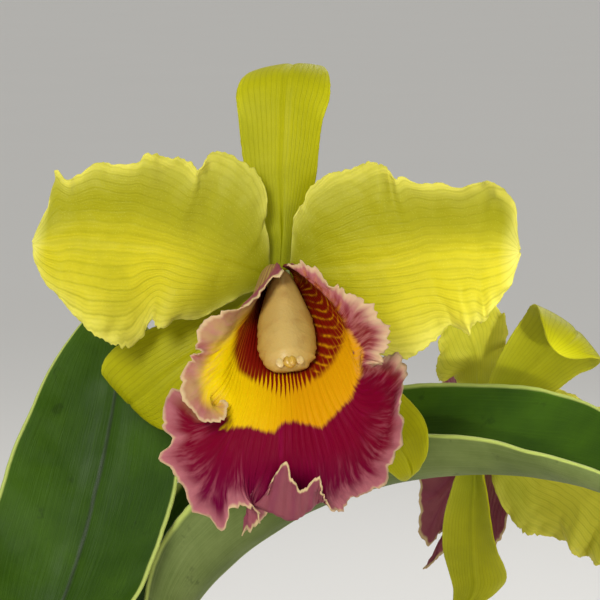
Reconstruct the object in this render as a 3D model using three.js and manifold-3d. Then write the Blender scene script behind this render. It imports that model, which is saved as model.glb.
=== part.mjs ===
// Potted cattleya orchid: a clay pot of bark, a creeping stem with five jointed bulbs, their strap leaves,
// and a flower stem with two ruffled blooms. Millimetres, +Z up, origin at the middle of the pot's foot.

import * as THREE from 'three';
import { mergeVertices } from 'three/addons/utils/BufferGeometryUtils.js';
import Module from 'manifold-3d';

const wasm = await Module();
wasm.setup();

// Driving dimensions
const GAP = 0.3; // clearance between pieces that touch on the real plant
const POT_HEIGHT = 118;
const RIM_RADIUS = 70;
const RIM_BAND = 24;
const RIM_STEP = 5;
const FOOT_RADIUS = 48;
const WALL = 6;
const DRAIN_RADIUS = 6;
const DRAIN_RING = 27;
const DRAINS = 4;
const BARK_TOP = 104;
const BARK_CROWN = 3;
const CHIPS = 17;
const CHIP_SIZE = 17;
const RHIZOME_RADIUS = 5.2;
const SHOOT_RADIUS = 4.1; // side shoots of the creeping stem
const LEAF_THICKNESS = 1.8;
const PETAL_THICKNESS = 1.2;
const SEPAL_THICKNESS = 1.4;
const LIP_THICKNESS = 0.9;
const OVARY_RADIUS = 4.2;
const STEM_RADIUS = 2.6;
const ROOT_RADIUS = 2.4;
const SHEATH_CLEARANCE = 0.8; // papery sleeve round a bulb
const SHEATH_THICKNESS = 0.7;
const SHEATH_SPAN = [0.06, 0.54]; // along the bulb
const SHEATH_FLARE = 2.4; // at its torn upper edge
const SHEATH_TEAR = 5;
const SPATHE_SPAN = [0.04, 0.32]; // along the flower stem
const SPATHE_CLEARANCE = 1.2;
const SPATHE_SWELL = 1.6;
const SPATHE_POINT = 6; // its front edge stands this much above its open back
const OLD_LEAF_BASE = 0.12; // half width where the blade leaves the bulb, as a share of the greatest
const OLD_LEAF_FOLD = [0.7, 0.25]; // rise of the margins over the rib, from base to tip, per half width
const CHIP_TURN = 0.4; // a chip lies up to this far out of level, in radians
const CHIP_RIM_GAP = 13;

// The main bloom's own frame: x to its left as it looks out, y to its back, z up. It looks out along -y
// and 9 degrees upward, from this height above the pot's foot.
const BLOOM_TILT = THREE.MathUtils.degToRad(9);
const BLOOM_CENTRE = new THREE.Vector3(62, -20, 372);
const LEAST_MITRE = 0.55; // limit of a folded sheet's corner, as the cosine of half the fold
const SECOND_BLOOM_CENTRE = [63, 92, -44]; // in the main bloom's frame
const SECOND_BLOOM_BACK = [-0.48, -0.77, -0.41];
const SECOND_BLOOM_TOP = [0.49, -0.63, 0.61];
const PETAL_SLOPE = 0.62; // the second bloom's left petal rises this much for its reach,
const PETAL_REACH = 0.46; // reaches out this much of the main bloom's
const PETAL_WIDTH = 0.58; // at this much of its width,
const BEND_START = 14; // and bends back from here outward
const BEND_RADIUS = 45;
const SWAY_START = -18; // the second bloom's lip hangs to one side from here downward
const LIP_SWAY = 0.5;
const LIP_REACH = 0.4;
const LIP_STRETCH = 0.1;
const LIP_NARROWING = 0.45;
const SWAY_EASE = 15; // the narrowing is complete this far below the start

// Outlines of the main bloom's organs, each from its base to its tip: the two margins and the middle line
const LEFT_PETAL = {
  upper: [
    [-3.2, 1, 3.8], [-3.2, 0, 11], [-4.5, -1, 17.5], [-3.5, -2, 22.5], [-6, -2, 29.5], [-11, -1, 33.5],
    [-18, -1, 36], [-21, -4, 33.5], [-22.5, -6, 30.5], [-26, -5, 33.5], [-31.5, -7, 34], [-36.5, -9, 35],
    [-39, -9, 32.5], [-45.5, -8, 32], [-51, -6, 32.5], [-55.5, -5, 29.5], [-59.5, -2, 28], [-63, 1, 31],
    [-64, 1, 26.5], [-65, -1, 20.5], [-68, -2, 14], [-69, -2, 10.5],
  ],
  middle: [
    [-2.8, 1, 1], [-11, -1, 3.5], [-22, -4, 6.5], [-33.5, -5, 9.5], [-44.5, -5, 11], [-55.5, -4, 12],
    [-64, -3, 11], [-69, -2, 10],
  ],
  lower: [
    [-3.2, 1, -1.8], [-10, 0, -4], [-15.5, -1, -7], [-22.5, -1, -10.5], [-28.5, -3, -11],
    [-33.5, -5, -13.5],
    [-36, -2, -11], [-38, 1, -14.5], [-41.5, 0, -18.5], [-46.5, -2, -18], [-52, -4, -15],
    [-57, -2, -10.5],
    [-61, -3, -5.5], [-65.5, -1, -0.5], [-68.5, -2, 5], [-69, -2, 9.5],
  ],
};
const RIGHT_PETAL = {
  upper: [
    [3.2, 1, 3.8], [3.2, 0, 9], [3.5, -1, 13.5], [4, -3, 18], [6.5, -1, 21.5], [8, -1, 25], [11, -2, 28],
    [15, -2, 30], [19.5, -3, 31], [23.5, -4, 32.5], [27, -6, 32.5], [30, -4, 31], [31.5, -7, 28],
    [34, -8, 28.5],
    [39, -8, 26.5], [44.5, -9, 26.5], [49.5, -8, 25.5], [55, -6, 27], [59, -3, 27.5], [63.5, 0, 25],
    [66, 1, 20.5], [66.5, -1, 14], [67, -2, 8.5],
  ],
  middle: [
    [2.8, 1, 1], [10, 0, 3.5], [19.5, -3, 4.5], [30.5, -5, 6], [41.5, -5, 8], [51.5, -4, 9], [60, -3, 9],
    [67, -2, 8],
  ],
  lower: [
    [3.2, 1, -1.8], [8.5, 1.5, -6], [15.5, 2, -13], [24, 1, -19], [31, 0, -21.5], [35, -1, -22],
    [39, -3, -20],
    [44, -3, -16], [46.5, -1, -13], [49, 1, -13], [52, -2, -15], [53, -4, -15], [54.5, -2, -12],
    [57.5, 0, -11.5],
    [59.5, -2, -8], [63, -1, -4], [65.5, -2, 1], [67, -2, 7.5],
  ],
};
const DORSAL_SEPAL = {
  upper: [
    [-2.6, 3, 2.8], [-4, 4, 10], [-7, 5, 18.5], [-9.5, 6, 28.5], [-11, 7, 38], [-12, 8, 47.5],
    [-12.5, 10, 53],
    [-11, 14, 57.5], [-8, 20, 60], [-3.5, 25, 60],
  ],
  middle: [
    [0, 3, 2.8], [0.5, 3, 11.5], [0.5, 3.5, 21], [0.5, 4.5, 31], [1, 5.5, 41], [1.5, 7.5, 51],
    [2, 11, 58],
    [3.5, 17, 61.5], [3.5, 23, 61.5], [2.5, 28, 60],
  ],
  lower: [
    [2.6, 3, 2.8], [4.2, 4, 10], [7.5, 5, 18.5], [10, 6, 28.5], [11, 7, 38], [12, 8, 45], [14, 9, 51.5],
    [14, 13, 58], [12, 19, 61.5], [8, 25, 60.5],
  ],
};
const LEFT_SEPAL = {
  upper: [
    [-3.6, 3, -0.8], [-9, 5, -3.5], [-18.5, 7, -6], [-28, 9, -10], [-37, 10, -14], [-45.5, 11, -18],
    [-50, 13, -22.5], [-51, 16, -26.5], [-49, 20, -27.5], [-45.5, 24, -30],
  ],
  middle: [
    [-2.4, 3, -2.4], [-9, 3, -8], [-16.5, 4, -14.5], [-23.5, 5, -20.5], [-31, 6, -26], [-37.5, 8, -31.5],
    [-41.5, 12, -34.5], [-43, 17, -35.5], [-43, 21, -34.5], [-41.5, 25, -33],
  ],
  lower: [
    [-0.8, 3, -3.6], [-7, 5, -12.5], [-12, 7, -21.5], [-17.5, 8, -30], [-23.5, 9, -37.5], [-29, 10, -42],
    [-33.5, 12, -42.5], [-38, 16, -39.5], [-39.5, 20, -37.5], [-38, 24, -35.5],
  ],
};
const RIGHT_SEPAL = {
  upper: [
    [3.6, 3, -0.8], [10, 5, -9], [18.5, 7, -16], [26, 8, -23], [32.5, 6, -30], [37.5, 3, -35],
    [40.5, 1, -39.5],
    [41.5, 0, -45], [41, 2.5, -50], [38.5, 7, -54],
  ],
  middle: [
    [2.4, 3, -2.4], [7.5, 3, -11], [13.5, 4, -19.5], [19.5, 5, -28], [26, 5, -36.5], [31, 4, -43.5],
    [34.5, 3.5, -48], [36.5, 5, -52], [37.2, 7.5, -54.5], [37, 10.5, -56],
  ],
  lower: [
    [0.8, 3, -3.6], [4, 5, -13.5], [8, 7, -23.5], [12.5, 8, -33.5], [18.5, 8, -42.5], [25, 7, -49],
    [30, 6.5, -53.5],
    [33, 8.5, -56], [34.5, 11, -57], [35.5, 13.5, -57],
  ],
};

// The lip is one sheet rolled round the column and open above it. Each ring runs from the left edge of that
// opening, round below, to the right edge, and the rings go outward from the base to the ruffled margin.
const LIP_RINGS = {
  base: { centre: [0, -1.4, 0], radius: 4.1, lean: 0 },
  tube: { centre: [0.6, -4.5, -2], radius: 6.6, lean: 0.36 },
  throat: [
    [-0.6, -6.5, 4.6], [-8.5, -16, -9], [-11.5, -24, -18], [-10.5, -29, -24], [-7, -32, -27.5],
    [-2.5, -34, -29.5],
    [2.5, -34, -30], [7, -34, -29.5], [13, -32, -27], [17, -30, -22], [18.5, -27, -16], [14, -18, -5],
    [3.2, -10, 4.4],
  ],
  body: [
    [-0.2, -9, 4.2], [-13, -22, -14], [-15, -34, -25], [-13.5, -37, -33.5], [-11.5, -40, -42.5],
    [-5.5, -42, -46.5], [3, -43, -47], [11, -42, -46.5], [19.5, -39, -40], [21, -36, -30],
    [20.5, -32, -21],
    [16, -24, -8], [3.4, -12.5, 4.2],
  ],
  frill: [
    [0.3, -11, 3.4], [-10.5, -20.5, -8], [-17.5, -29, -17.5], [-20.5, -33, -25.5], [-18.5, -38, -31.5],
    [-19, -34.5, -36.5], [-23, -33, -41.5], [-18, -38, -54], [-10, -41, -55], [-7.5, -39.5, -58],
    [-6.5, -38, -59.5], [3.5, -36, -64], [9.5, -38.5, -59.5], [13, -40, -57], [19.5, -38, -52.5],
    [26.5, -35, -45], [29, -33, -33],
    [25, -31, -25.5], [22, -31, -21], [24.5, -29, -14], [18, -24, -6], [10.5, -18, -1], [2.6, -14, 4],
  ],
  margin: [
    [1, -13, 2.4], [-3.5, -17, -1], [-6.5, -20.5, -5], [-10, -24, -8], [-15.5, -27, -8.5],
    [-21, -27, -12.5],
    [-22.5, -30, -18], [-21.5, -33.5, -19.8], [-24.5, -34, -21], [-26, -35, -26.5], [-24.5, -38, -32],
    [-21, -41, -36.5], [-16, -44, -38], [-13.5, -42.5, -35.5], [-14.5, -38.5, -33], [-21, -33, -32.5],
    [-28.5, -28, -30], [-31, -29, -38], [-28.5, -31, -43], [-31.5, -31, -47.5], [-27.5, -33, -53.5],
    [-23, -35, -61], [-15, -39, -65.5], [-12.5, -41, -61.5], [-8, -41, -60], [-5.5, -39, -62.5],
    [-7, -36, -66],
    [-10, -33, -68], [-6.5, -31.5, -66], [-3, -35.5, -62], [-3, -40, -57], [-0.5, -46, -50.5],
    [2, -49, -48.5],
    [4, -47, -53], [6.5, -45, -55.5], [10, -48, -52], [11.5, -46.5, -54], [12, -45, -56.5],
    [13, -43.5, -59.5],
    [15.5, -41.5, -61.5], [17.5, -37, -60.5], [19.5, -36, -57.5], [22.5, -35, -57], [27, -34, -55.5],
    [30, -32, -51], [31.5, -31, -46.5], [33.5, -30, -39.5], [32.5, -29, -33.5], [33.5, -24, -28.5],
    [34.5, -23, -24.5], [32.5, -24, -20.5], [29.5, -25, -20.5], [27, -28, -22.5], [26.5, -31, -22.5],
    [27, -32, -22], [28, -32, -20], [29, -31, -17], [28.5, -30, -13.5], [27, -28, -10],
    [23.5, -26, -6], [19, -24, -3.5], [16, -23, -2], [13, -21, -2], [10.5, -18, 2.5], [7, -17, 4],
    [4, -16, 4.6], [1.5, -15.5, 4.2],
  ],
};
const LIP_OPENING = THREE.MathUtils.degToRad(12); // half the angle left open over the column

// The column's middle line, and its half width and half thickness along it
const COLUMN_LINE = [
  [0, 4, 0], [0, -1, -0.2], [0.5, -5, -1], [1, -10, -5.5], [1.5, -16, -11], [2, -23, -17],
  [2.5, -28, -21.5],
  [3, -30, -24],
];
const COLUMN_WIDTHS = [3, 3, 3.2, 4.8, 6.6, 7.7, 7.2, 4.6];
const COLUMN_DEPTHS = [3, 3, 3, 3.3, 3.8, 4.4, 4.2, 2.6];

// Leaves in the main bloom's frame, from the bulb to the tip: rib and the two margins
const BROAD_LEAF = {
  middle: [
    [-78.5, 5, -141.5], [-74, 14, -120], [-68, 20, -105], [-63, 25, -92.5], [-58.5, 30, -78.5],
    [-55, 33, -64],
    [-52, 36, -51], [-49.5, 38, -38], [-48, 39, -26.5], [-47.5, 40, -14.5], [-48.5, 40, -3],
  ],
  upper: [
    [-81.5, 2, -140.5], [-83.5, 8, -119], [-87.5, 13, -104], [-88.5, 18, -92], [-87, 23, -78],
    [-82.5, 27, -64],
    [-78.5, 31, -49.5], [-73, 34, -36.5], [-67.5, 37, -24.5], [-60, 39, -13.5], [-51, 40, -4.5],
  ],
  lower: [
    [-75, 2, -141], [-64, 4, -118], [-51.5, 6, -104], [-41, 10, -90.5], [-36.5, 14, -80],
    [-33, 17, -70.5],
    [-30.5, 20, -62], [-29, 24, -51], [-28.5, 29, -39.5], [-33, 34, -24], [-46, 39, -5],
  ],
};
const ARCHING_LEAF = {
  middle: [
    [-36, 26, -129], [-33, 31, -109.5], [-26, 34, -93.5], [-14.5, 37, -81.5], [0.5, 38, -71],
    [16, 38, -63.5],
    [30.5, 36, -58.5], [43.5, 32, -56], [56.5, 26, -54.5], [69, 18, -54], [79.5, 9, -55],
    [89.5, 0, -56.5],
    [102, -10, -61.5], [112.5, -16.5, -67.5],
  ],
  upper: [
    [-41, 20, -129], [-40.5, 20, -107.5], [-39, 18, -91.5], [-36.5, 20, -80], [-31.5, 22, -71],
    [-24, 22, -62.5],
    [-11.5, 20, -54], [5.5, 18, -48], [22.5, 16, -44.5], [42.5, 13, -44], [56.5, 5, -44.5], [72, -6, -48],
    [92, -16, -54.5], [110, -19, -69.5],
  ],
  lower: [
    [-43, 32, -129], [-45.5, 42, -111], [-46, 49, -95.5], [-42.5, 53, -81], [-35, 55, -66],
    [-23, 56, -52.5],
    [-6.5, 57, -42], [14.5, 55, -34.5], [35.5, 51, -31.5], [47.5, 47, -30.5], [64.5, 38, -30.5],
    [78.5, 27, -32], [95, 10, -39.5], [115, -12.5, -64.5],
  ],
};

// Older leaves stand on the older bulbs: heading and lean of the blade, its length, width and droop
const OLD_LEAVES = [
  { bulb: 2, heading: 168, lean: 34, length: 185, width: 40, droop: 42 },
  { bulb: 3, heading: 232, lean: 46, length: 165, width: 36, droop: 55 },
  { bulb: 4, heading: 128, lean: 40, length: 175, width: 38, droop: 48 },
];

// Bulbs on the creeping stem, newest first: foot, top and greatest radius, in the pot's frame
const BULBS = [
  { foot: [14, -4, 110], top: [23, -17, 241], radius: 10.5 },
  { foot: [-18, -6, 110], top: [-17, -37, 231], radius: 10 },
  { foot: [-40, 4, 109], top: [-62, 12, 222], radius: 9.5 },
  { foot: [-24, -34, 108], top: [-48, -62, 205], radius: 9 },
  { foot: [-14, 30, 108], top: [-34, 64, 212], radius: 9 },
];
const BULB_FLATNESS = 0.8;
const BULB_SIDES = 10;

const COLOURS = {
  clay: 0xb4623c,
  bark: 0x5a3a24,
  rhizome: 0x6f7a3a,
  bulb: 0x7d9a3a,
  sheath: 0xcdbf95,
  leaf: 0x35570e,
  stem: 0x8fa83c,
  petal: 0xcfc93a,
  sepal: 0xb9bf22,
  lip: 0x9c1040,
  column: 0xe3c878,
  root: 0xc9c8ae,
};

const vector = (point) => new THREE.Vector3(...point);
const lerp = THREE.MathUtils.lerp;

// A repeatable stream of numbers from 0 to 1
function randomStream(seed) {
  let state = seed;
  return () => {
    state = (state * 16807) % 2147483647;
    return state / 2147483647;
  };
}

// A smooth curve through points, its parameter even from point to point
function curveThrough(points) {
  return new THREE.CatmullRomCurve3(points.map(vector), false, 'catmullrom', 0.5);
}

// Reads a list of evenly spaced values at t from 0 to 1
function along(values, t) {
  const place = t * (values.length - 1);
  const index = Math.min(Math.floor(place), values.length - 2);
  return lerp(values[index], values[index + 1], place - index);
}

function geometryOf(positions, triangles) {
  const geometry = new THREE.BufferGeometry();
  geometry.setAttribute('position', new THREE.Float32BufferAttribute(positions, 3));
  geometry.setIndex(triangles);
  return geometry;
}

// Joins shared corners and drops triangles that have closed up
function welded(geometry) {
  const bare = geometry.clone();
  bare.deleteAttribute('normal');
  bare.deleteAttribute('uv');
  const merged = mergeVertices(bare, 1e-4);
  const index = merged.index.array;
  const kept = [];
  for (let i = 0; i < index.length; i += 3) {
    const [a, b, c] = [index[i], index[i + 1], index[i + 2]];
    if (a !== b && b !== c && c !== a) kept.push(a, b, c);
  }
  merged.setIndex(kept);
  return merged;
}

function signedVolume(geometry) {
  const { position } = geometry.attributes;
  const index = geometry.index.array;
  const [a, b, c] = [new THREE.Vector3(), new THREE.Vector3(), new THREE.Vector3()];
  let sum = 0;
  for (let i = 0; i < index.length; i += 3) {
    a.fromBufferAttribute(position, index[i]);
    b.fromBufferAttribute(position, index[i + 1]);
    c.fromBufferAttribute(position, index[i + 2]);
    sum += a.dot(b.cross(c));
  }
  return sum / 6;
}

// Turns the faces out where a shape was built or mirrored inside out
function facingOut(geometry) {
  if (signedVolume(geometry) < 0) {
    const index = geometry.index.array;
    for (let i = 0; i < index.length; i += 3) {
      [index[i + 1], index[i + 2]] = [index[i + 2], index[i + 1]];
    }
  }
  return geometry;
}

function toSolid(geometry) {
  const shape = facingOut(welded(geometry));
  return new wasm.Manifold(new wasm.Mesh({
    numProp: 3,
    vertProperties: new Float32Array(shape.attributes.position.array),
    triVerts: new Uint32Array(shape.index.array),
  }));
}

// The largest body of a solid, as a geometry
function toGeometry(solid) {
  const bodies = solid.decompose().sort((a, b) => b.volume() - a.volume());
  const { vertProperties, triVerts } = bodies[0].getMesh();
  return geometryOf(Array.from(vertProperties), Array.from(triVerts));
}

// Cuts a geometry clear of its neighbours, which are already drawn larger by the gap
function cutClear(geometry, neighbours) {
  const cut = neighbours.reduce((solid, next) => solid.subtract(toSolid(next)), toSolid(geometry));
  return toGeometry(cut);
}

// The two faces of a sheet on a grid of points. Each point moves out along the mean of the grid's own faces
// round it, so that a tight fold keeps its thickness.
function bothFaces(grid, thickness, grow = 0) {
  const rows = grid.length - 1;
  const columns = grid[0].length - 1;
  const within = (value, most) => THREE.MathUtils.clamp(value, 0, most);
  const faceNormal = (i, j) => {
    const diagonal = grid[i + 1][j + 1].clone().sub(grid[i][j]);
    return diagonal.cross(grid[i][j + 1].clone().sub(grid[i + 1][j])).normalize();
  };
  const normalAt = (i, j) => {
    const around = [];
    for (const a of new Set([within(i - 1, rows - 1), within(i, rows - 1)])) {
      for (const b of new Set([within(j - 1, columns - 1), within(j, columns - 1)])) {
        around.push(faceNormal(a, b));
      }
    }
    const normal = around.reduce((sum, one) => sum.add(one), new THREE.Vector3()).normalize();
    const lean = around.reduce((sum, one) => sum + one.dot(normal), 0) / around.length;
    return normal.divideScalar(Math.max(LEAST_MITRE, lean));
  };
  const outward = (i, j) => {
    if (grow === 0 || (i % rows > 0 && j % columns > 0)) return new THREE.Vector3();
    const inner = grid[THREE.MathUtils.clamp(i, 1, rows - 1)][THREE.MathUtils.clamp(j, 1, columns - 1)];
    return grid[i][j].clone().sub(inner).setLength(grow);
  };
  return [1, -1].map((side) => grid.map((row, i) => row.map((point, j) => point.clone()
    .addScaledVector(normalAt(i, j), side * (thickness / 2 + grow))
    .add(outward(i, j)))));
}

// A thin sheet on a grid of points: the union of one small convex slab for each triangle of the grid, so that
// folds which touch one another join
const SLAB_CORNERS = [[[0, 0], [1, 0], [1, 1]], [[0, 0], [1, 1], [0, 1]]];
function sheet(grid, thickness, grow = 0) {
  const faces = bothFaces(grid, thickness, grow);
  const slabs = [];
  for (let i = 0; i < grid.length - 1; i++) {
    for (let j = 0; j < grid[0].length - 1; j++) {
      for (const corners of SLAB_CORNERS) {
        const points = faces.flatMap((face) => corners.map(([a, b]) => face[i + a][j + b].toArray()));
        slabs.push(wasm.Manifold.hull(points));
      }
    }
  }
  return toGeometry(wasm.Manifold.union(slabs));
}

// A blade stretched over its two margins and its middle line
function blade({ upper, middle, lower }, { thickness, rows, columns, grow = 0, reshape = (p) => p }) {
  const [top, rib, bottom] = [upper, middle, lower].map((points) => curveThrough(points.map(reshape)));
  const grid = [];
  for (let i = 0; i <= rows; i++) {
    const u = i / rows;
    const [a, m, b] = [top.getPoint(u), rib.getPoint(u), bottom.getPoint(u)];
    const row = [];
    for (let j = 0; j <= columns; j++) {
      const v = (2 * j) / columns - 1;
      const point = new THREE.Vector3().addScaledVector(a, (v * (v - 1)) / 2);
      row.push(point.addScaledVector(m, 1 - v * v).addScaledVector(b, (v * (v + 1)) / 2));
    }
    grid.push(row);
  }
  return sheet(grid, thickness, grow);
}

// A round or flattened rod: a turned profile bent along a curve. radii and depths are read from base to tip.
function rod({ line, path = curveThrough(line), radii, depths = radii, sides, steps, across, grow = 0 }) {
  const sideways = vector(across ?? [1, 0, 0]);
  const profile = [new THREE.Vector2(0, 0)];
  for (let i = 0; i <= steps; i++) profile.push(new THREE.Vector2(1, i / steps));
  profile.push(new THREE.Vector2(0, 1));
  const geometry = welded(new THREE.LatheGeometry(profile, sides));
  const { position } = geometry.attributes;
  for (let i = 0; i < position.count; i++) {
    const t = THREE.MathUtils.clamp(position.getY(i), 0, 1);
    const tangent = path.getTangent(t);
    const side = sideways.clone().addScaledVector(tangent, -sideways.dot(tangent)).normalize();
    const normal = tangent.clone().cross(side);
    const point = path.getPoint(t);
    if (t === 0) point.addScaledVector(tangent, -grow);
    if (t === 1) point.addScaledVector(tangent, grow);
    point.addScaledVector(side, position.getX(i) * (along(radii, t) + grow));
    point.addScaledVector(normal, position.getZ(i) * (along(depths, t) + grow));
    position.setXYZ(i, point.x, point.y, point.z);
  }
  return facingOut(geometry);
}

// From the main bloom's frame to the pot's
const bloomToPot = new THREE.Matrix4()
  .makeRotationX(-BLOOM_TILT)
  .setPosition(BLOOM_CENTRE);
const inPot = (point) => vector(point).applyMatrix4(bloomToPot).toArray();

const potted = new THREE.Group();

function add(name, geometry, colour, roughness = 0.6, parent = potted) {
  geometry.computeVertexNormals();
  const material = new THREE.MeshStandardMaterial({ color: COLOURS[colour], roughness, metalness: 0 });
  const mesh = new THREE.Mesh(geometry, material);
  mesh.name = name;
  parent.add(mesh);
  return mesh;
}

// Pot: a tapered clay wall with a rim band, a floor and a ring of drain holes
const FLOOR = WALL + 1;
const wallSlope = (RIM_RADIUS - RIM_STEP - FOOT_RADIUS) / (POT_HEIGHT - RIM_BAND);
const outerRadius = (z) => FOOT_RADIUS + wallSlope * z;
const innerRadius = (z) => outerRadius(z) - WALL;

function pot() {
  const section = [
    [0, 0], [FOOT_RADIUS - 2, 0], [FOOT_RADIUS, 2],
    [outerRadius(POT_HEIGHT - RIM_BAND), POT_HEIGHT - RIM_BAND],
    [RIM_RADIUS - 2, POT_HEIGHT - RIM_BAND + 1], [RIM_RADIUS, POT_HEIGHT - 3],
    [RIM_RADIUS - 3, POT_HEIGHT],
    [innerRadius(POT_HEIGHT) + 1, POT_HEIGHT], [innerRadius(POT_HEIGHT - 2), POT_HEIGHT - 2],
    [innerRadius(FLOOR + 3), FLOOR + 3], [innerRadius(FLOOR) - 3, FLOOR], [0, FLOOR],
  ].map(([r, z]) => new THREE.Vector2(r, z));
  const shell = new THREE.LatheGeometry(section, 32).rotateX(Math.PI / 2);
  let solid = toSolid(shell);
  for (let k = 0; k < DRAINS; k++) {
    const angle = (2 * Math.PI * (k + 0.5)) / DRAINS;
    const drain = new THREE.CylinderGeometry(DRAIN_RADIUS, DRAIN_RADIUS, 3 * FLOOR, 14).rotateX(Math.PI / 2);
    drain.translate(DRAIN_RING * Math.cos(angle), DRAIN_RING * Math.sin(angle), FLOOR / 2);
    solid = solid.subtract(toSolid(drain));
  }
  return toGeometry(solid);
}
add('pot', pot(), 'clay', 0.9);

// Bulbs: jointed clubs on the creeping stem, with shallow furrows at their joints
const CLUB = [0.55, 0.6, 0.74, 0.9, 1, 0.99, 0.9, 0.72, 0.5];
function bulbLine({ foot, top }) {
  const middle = vector(foot).lerp(vector(top), 0.5).add(new THREE.Vector3(-1.5, 2, 0));
  return curveThrough([foot, middle.toArray(), top]);
}
function bulb({ foot, top, radius }, grow = 0) {
  const radii = CLUB.map((share) => share * radius);
  const depths = radii.map((r) => r * BULB_FLATNESS);
  return rod({ path: bulbLine({ foot, top }), radii, depths, sides: BULB_SIDES, steps: 9, grow });
}

// Creeping stem: from the oldest growth on the left to the newest on the right, half sunk in the bark
const RHIZOME_LINE = [
  [-50, 6, 106], [-38, 3, 108], [-18, -4, 108], [0, -6, 108], [14, -4, 108], [30, -2, 107],
];
const RHIZOME_TAPER = [0.48, 1, 1, 0.96, 1.04, 0.38];
const rhizome = (grow = 0) => rod({
  line: RHIZOME_LINE, radii: RHIZOME_TAPER.map((share) => share * RHIZOME_RADIUS), sides: 8, steps: 12,
  across: [0, 1, 0], grow,
});
const SIDE_SHOOTS = [
  [[-22, -11, 107], [-25, -20, 106.5], [-25, -30, 106.5]],
  [[-20, 3, 107], [-16, 14, 106.5], [-14, 26, 106.5]],
];
const sideShoot = (line, grow = 0) => rod({
  line, radii: [SHOOT_RADIUS, SHOOT_RADIUS], sides: 8, steps: 5, grow,
});

const grownBulbs = BULBS.map((one) => bulb(one, GAP));
const creepingStem = (grow = 0) => toGeometry(wasm.Manifold.union(
  [rhizome(grow), ...SIDE_SHOOTS.map((line) => sideShoot(line, grow))].map(toSolid),
));
add('rhizome', cutClear(creepingStem(), grownBulbs), 'rhizome', 0.7);
BULBS.forEach((one, k) => add(`bulb_${k + 1}`, bulb(one), 'bulb', 0.5));

// Papery sheaths: thin dry sleeves round the lower half of each bulb, open down one of its ten sides
function sheath({ foot, top, radius }, k) {
  const path = bulbLine({ foot, top });
  const rows = 4;
  const columns = BULB_SIDES - 1;
  const grid = [];
  for (let i = 0; i <= rows; i++) {
    const t = lerp(...SHEATH_SPAN, i / rows);
    const [centre, tangent] = [path.getPoint(t), path.getTangent(t)];
    const side = new THREE.Vector3(1, 0, 0).addScaledVector(tangent, -tangent.x).normalize();
    const normal = tangent.clone().cross(side);
    const row = [];
    for (let j = 0; j <= columns; j++) {
      const angle = (2 * Math.PI * (j + 2 * k)) / BULB_SIDES;
      const flare = SHEATH_CLEARANCE + SHEATH_FLARE * (i / rows) ** 2 * (0.6 + 0.4 * Math.sin(3 * angle + k));
      const width = along(CLUB, t) * radius + flare;
      const depth = along(CLUB, t) * radius * BULB_FLATNESS + flare;
      const torn = i === rows ? SHEATH_TEAR * Math.sin(2 * angle + k) : 0;
      row.push(centre.clone()
        .addScaledVector(side, Math.sin(angle) * width)
        .addScaledVector(normal, Math.cos(angle) * depth)
        .addScaledVector(tangent, torn));
    }
    grid.push(row);
  }
  return sheet(grid, SHEATH_THICKNESS);
}

// Roots: they leave the creeping stem and wander over the bark, one over the pot's rim
const ROOTS = [
  [[26, -7, 106], [34, -14, 108.5], [42, -24, 109], [44, -32, 107], [36, -42, 106.5]],
  [[20, 4, 106], [30, 14, 108.5], [34, 28, 109], [26, 40, 107], [18, 47, 106.5]],
  [[2, -12, 106], [8, -24, 109], [4, -38, 109], [10, -49, 107]],
  [[-2, 2, 106], [4, 14, 109], [2, 30, 109.5], [-2, 44, 108]],
  [[-46, -2, 105], [-52, -12, 108], [-50, -26, 108.5], [-42, -38, 107]],
];
const OVER_RIM = [
  [32, -4, 105.5], [42, -6, 110], [54, -8, 119], [66, -9, 122.5], [74, -9.5, 116], [76.5, -9, 102],
  [76, -6, 88], [77, -3, 76],
];
const ROOT_TAPER = [0.8, 1, 1, 0.96, 0.92, 0.67];
const root = (line, grow = 0) => rod({
  line, radii: ROOT_TAPER.map((share) => share * ROOT_RADIUS), sides: 6,
  steps: line === OVER_RIM ? 14 : 9, across: [0.3, 0.2, 1], grow,
});
const rootLines = [...ROOTS, OVER_RIM];
const stemAndBulbs = [...grownBulbs, creepingStem(GAP)];
rootLines.forEach((line, k) => {
  add(`aerial_root_${k + 1}`, cutClear(root(line), stemAndBulbs), 'root', 0.8);
});

// Bark bed: it fills the pot below the rim, and loose chips lie in its surface
function barkBed() {
  const bottom = FLOOR + GAP;
  const section = [
    [0, bottom], [innerRadius(FLOOR) - 4, bottom], [innerRadius(FLOOR + 3) - 1, FLOOR + 3 + GAP],
    [innerRadius(BARK_TOP - 2) - 0.6, BARK_TOP - 4], [innerRadius(BARK_TOP) - 5, BARK_TOP - 1],
    [30, BARK_TOP + BARK_CROWN - 1], [0, BARK_TOP + BARK_CROWN],
  ].map(([r, z]) => new THREE.Vector2(r, z));
  let solid = toSolid(new THREE.LatheGeometry(section, 32).rotateX(Math.PI / 2));
  const random = randomStream(41);
  const goldenAngle = Math.PI * (3 - Math.sqrt(5));
  for (let k = 0; k < CHIPS; k++) {
    const reach = (innerRadius(BARK_TOP) - CHIP_RIM_GAP) * Math.sqrt((k + 0.5) / CHIPS);
    const angle = k * goldenAngle;
    const size = CHIP_SIZE * lerp(0.75, 1.25, random());
    const [width, depth] = [size * lerp(0.5, 0.8, random()), size * lerp(0.3, 0.5, random())];
    const chip = new THREE.BoxGeometry(size, width, depth);
    chip.rotateX(CHIP_TURN * lerp(-1, 1, random()));
    chip.rotateY(CHIP_TURN * lerp(-1, 1, random()));
    chip.rotateZ(2 * Math.PI * random());
    const height = BARK_TOP + BARK_CROWN * (1 - reach / RIM_RADIUS) - 0.5;
    chip.translate(reach * Math.cos(angle), reach * Math.sin(angle), height);
    solid = solid.add(toSolid(chip));
  }
  const sunk = [...stemAndBulbs, ...rootLines.map((line) => root(line, GAP))];
  return cutClear(toGeometry(solid), sunk);
}
add('bark_bed', barkBed(), 'bark', 0.95);

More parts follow.
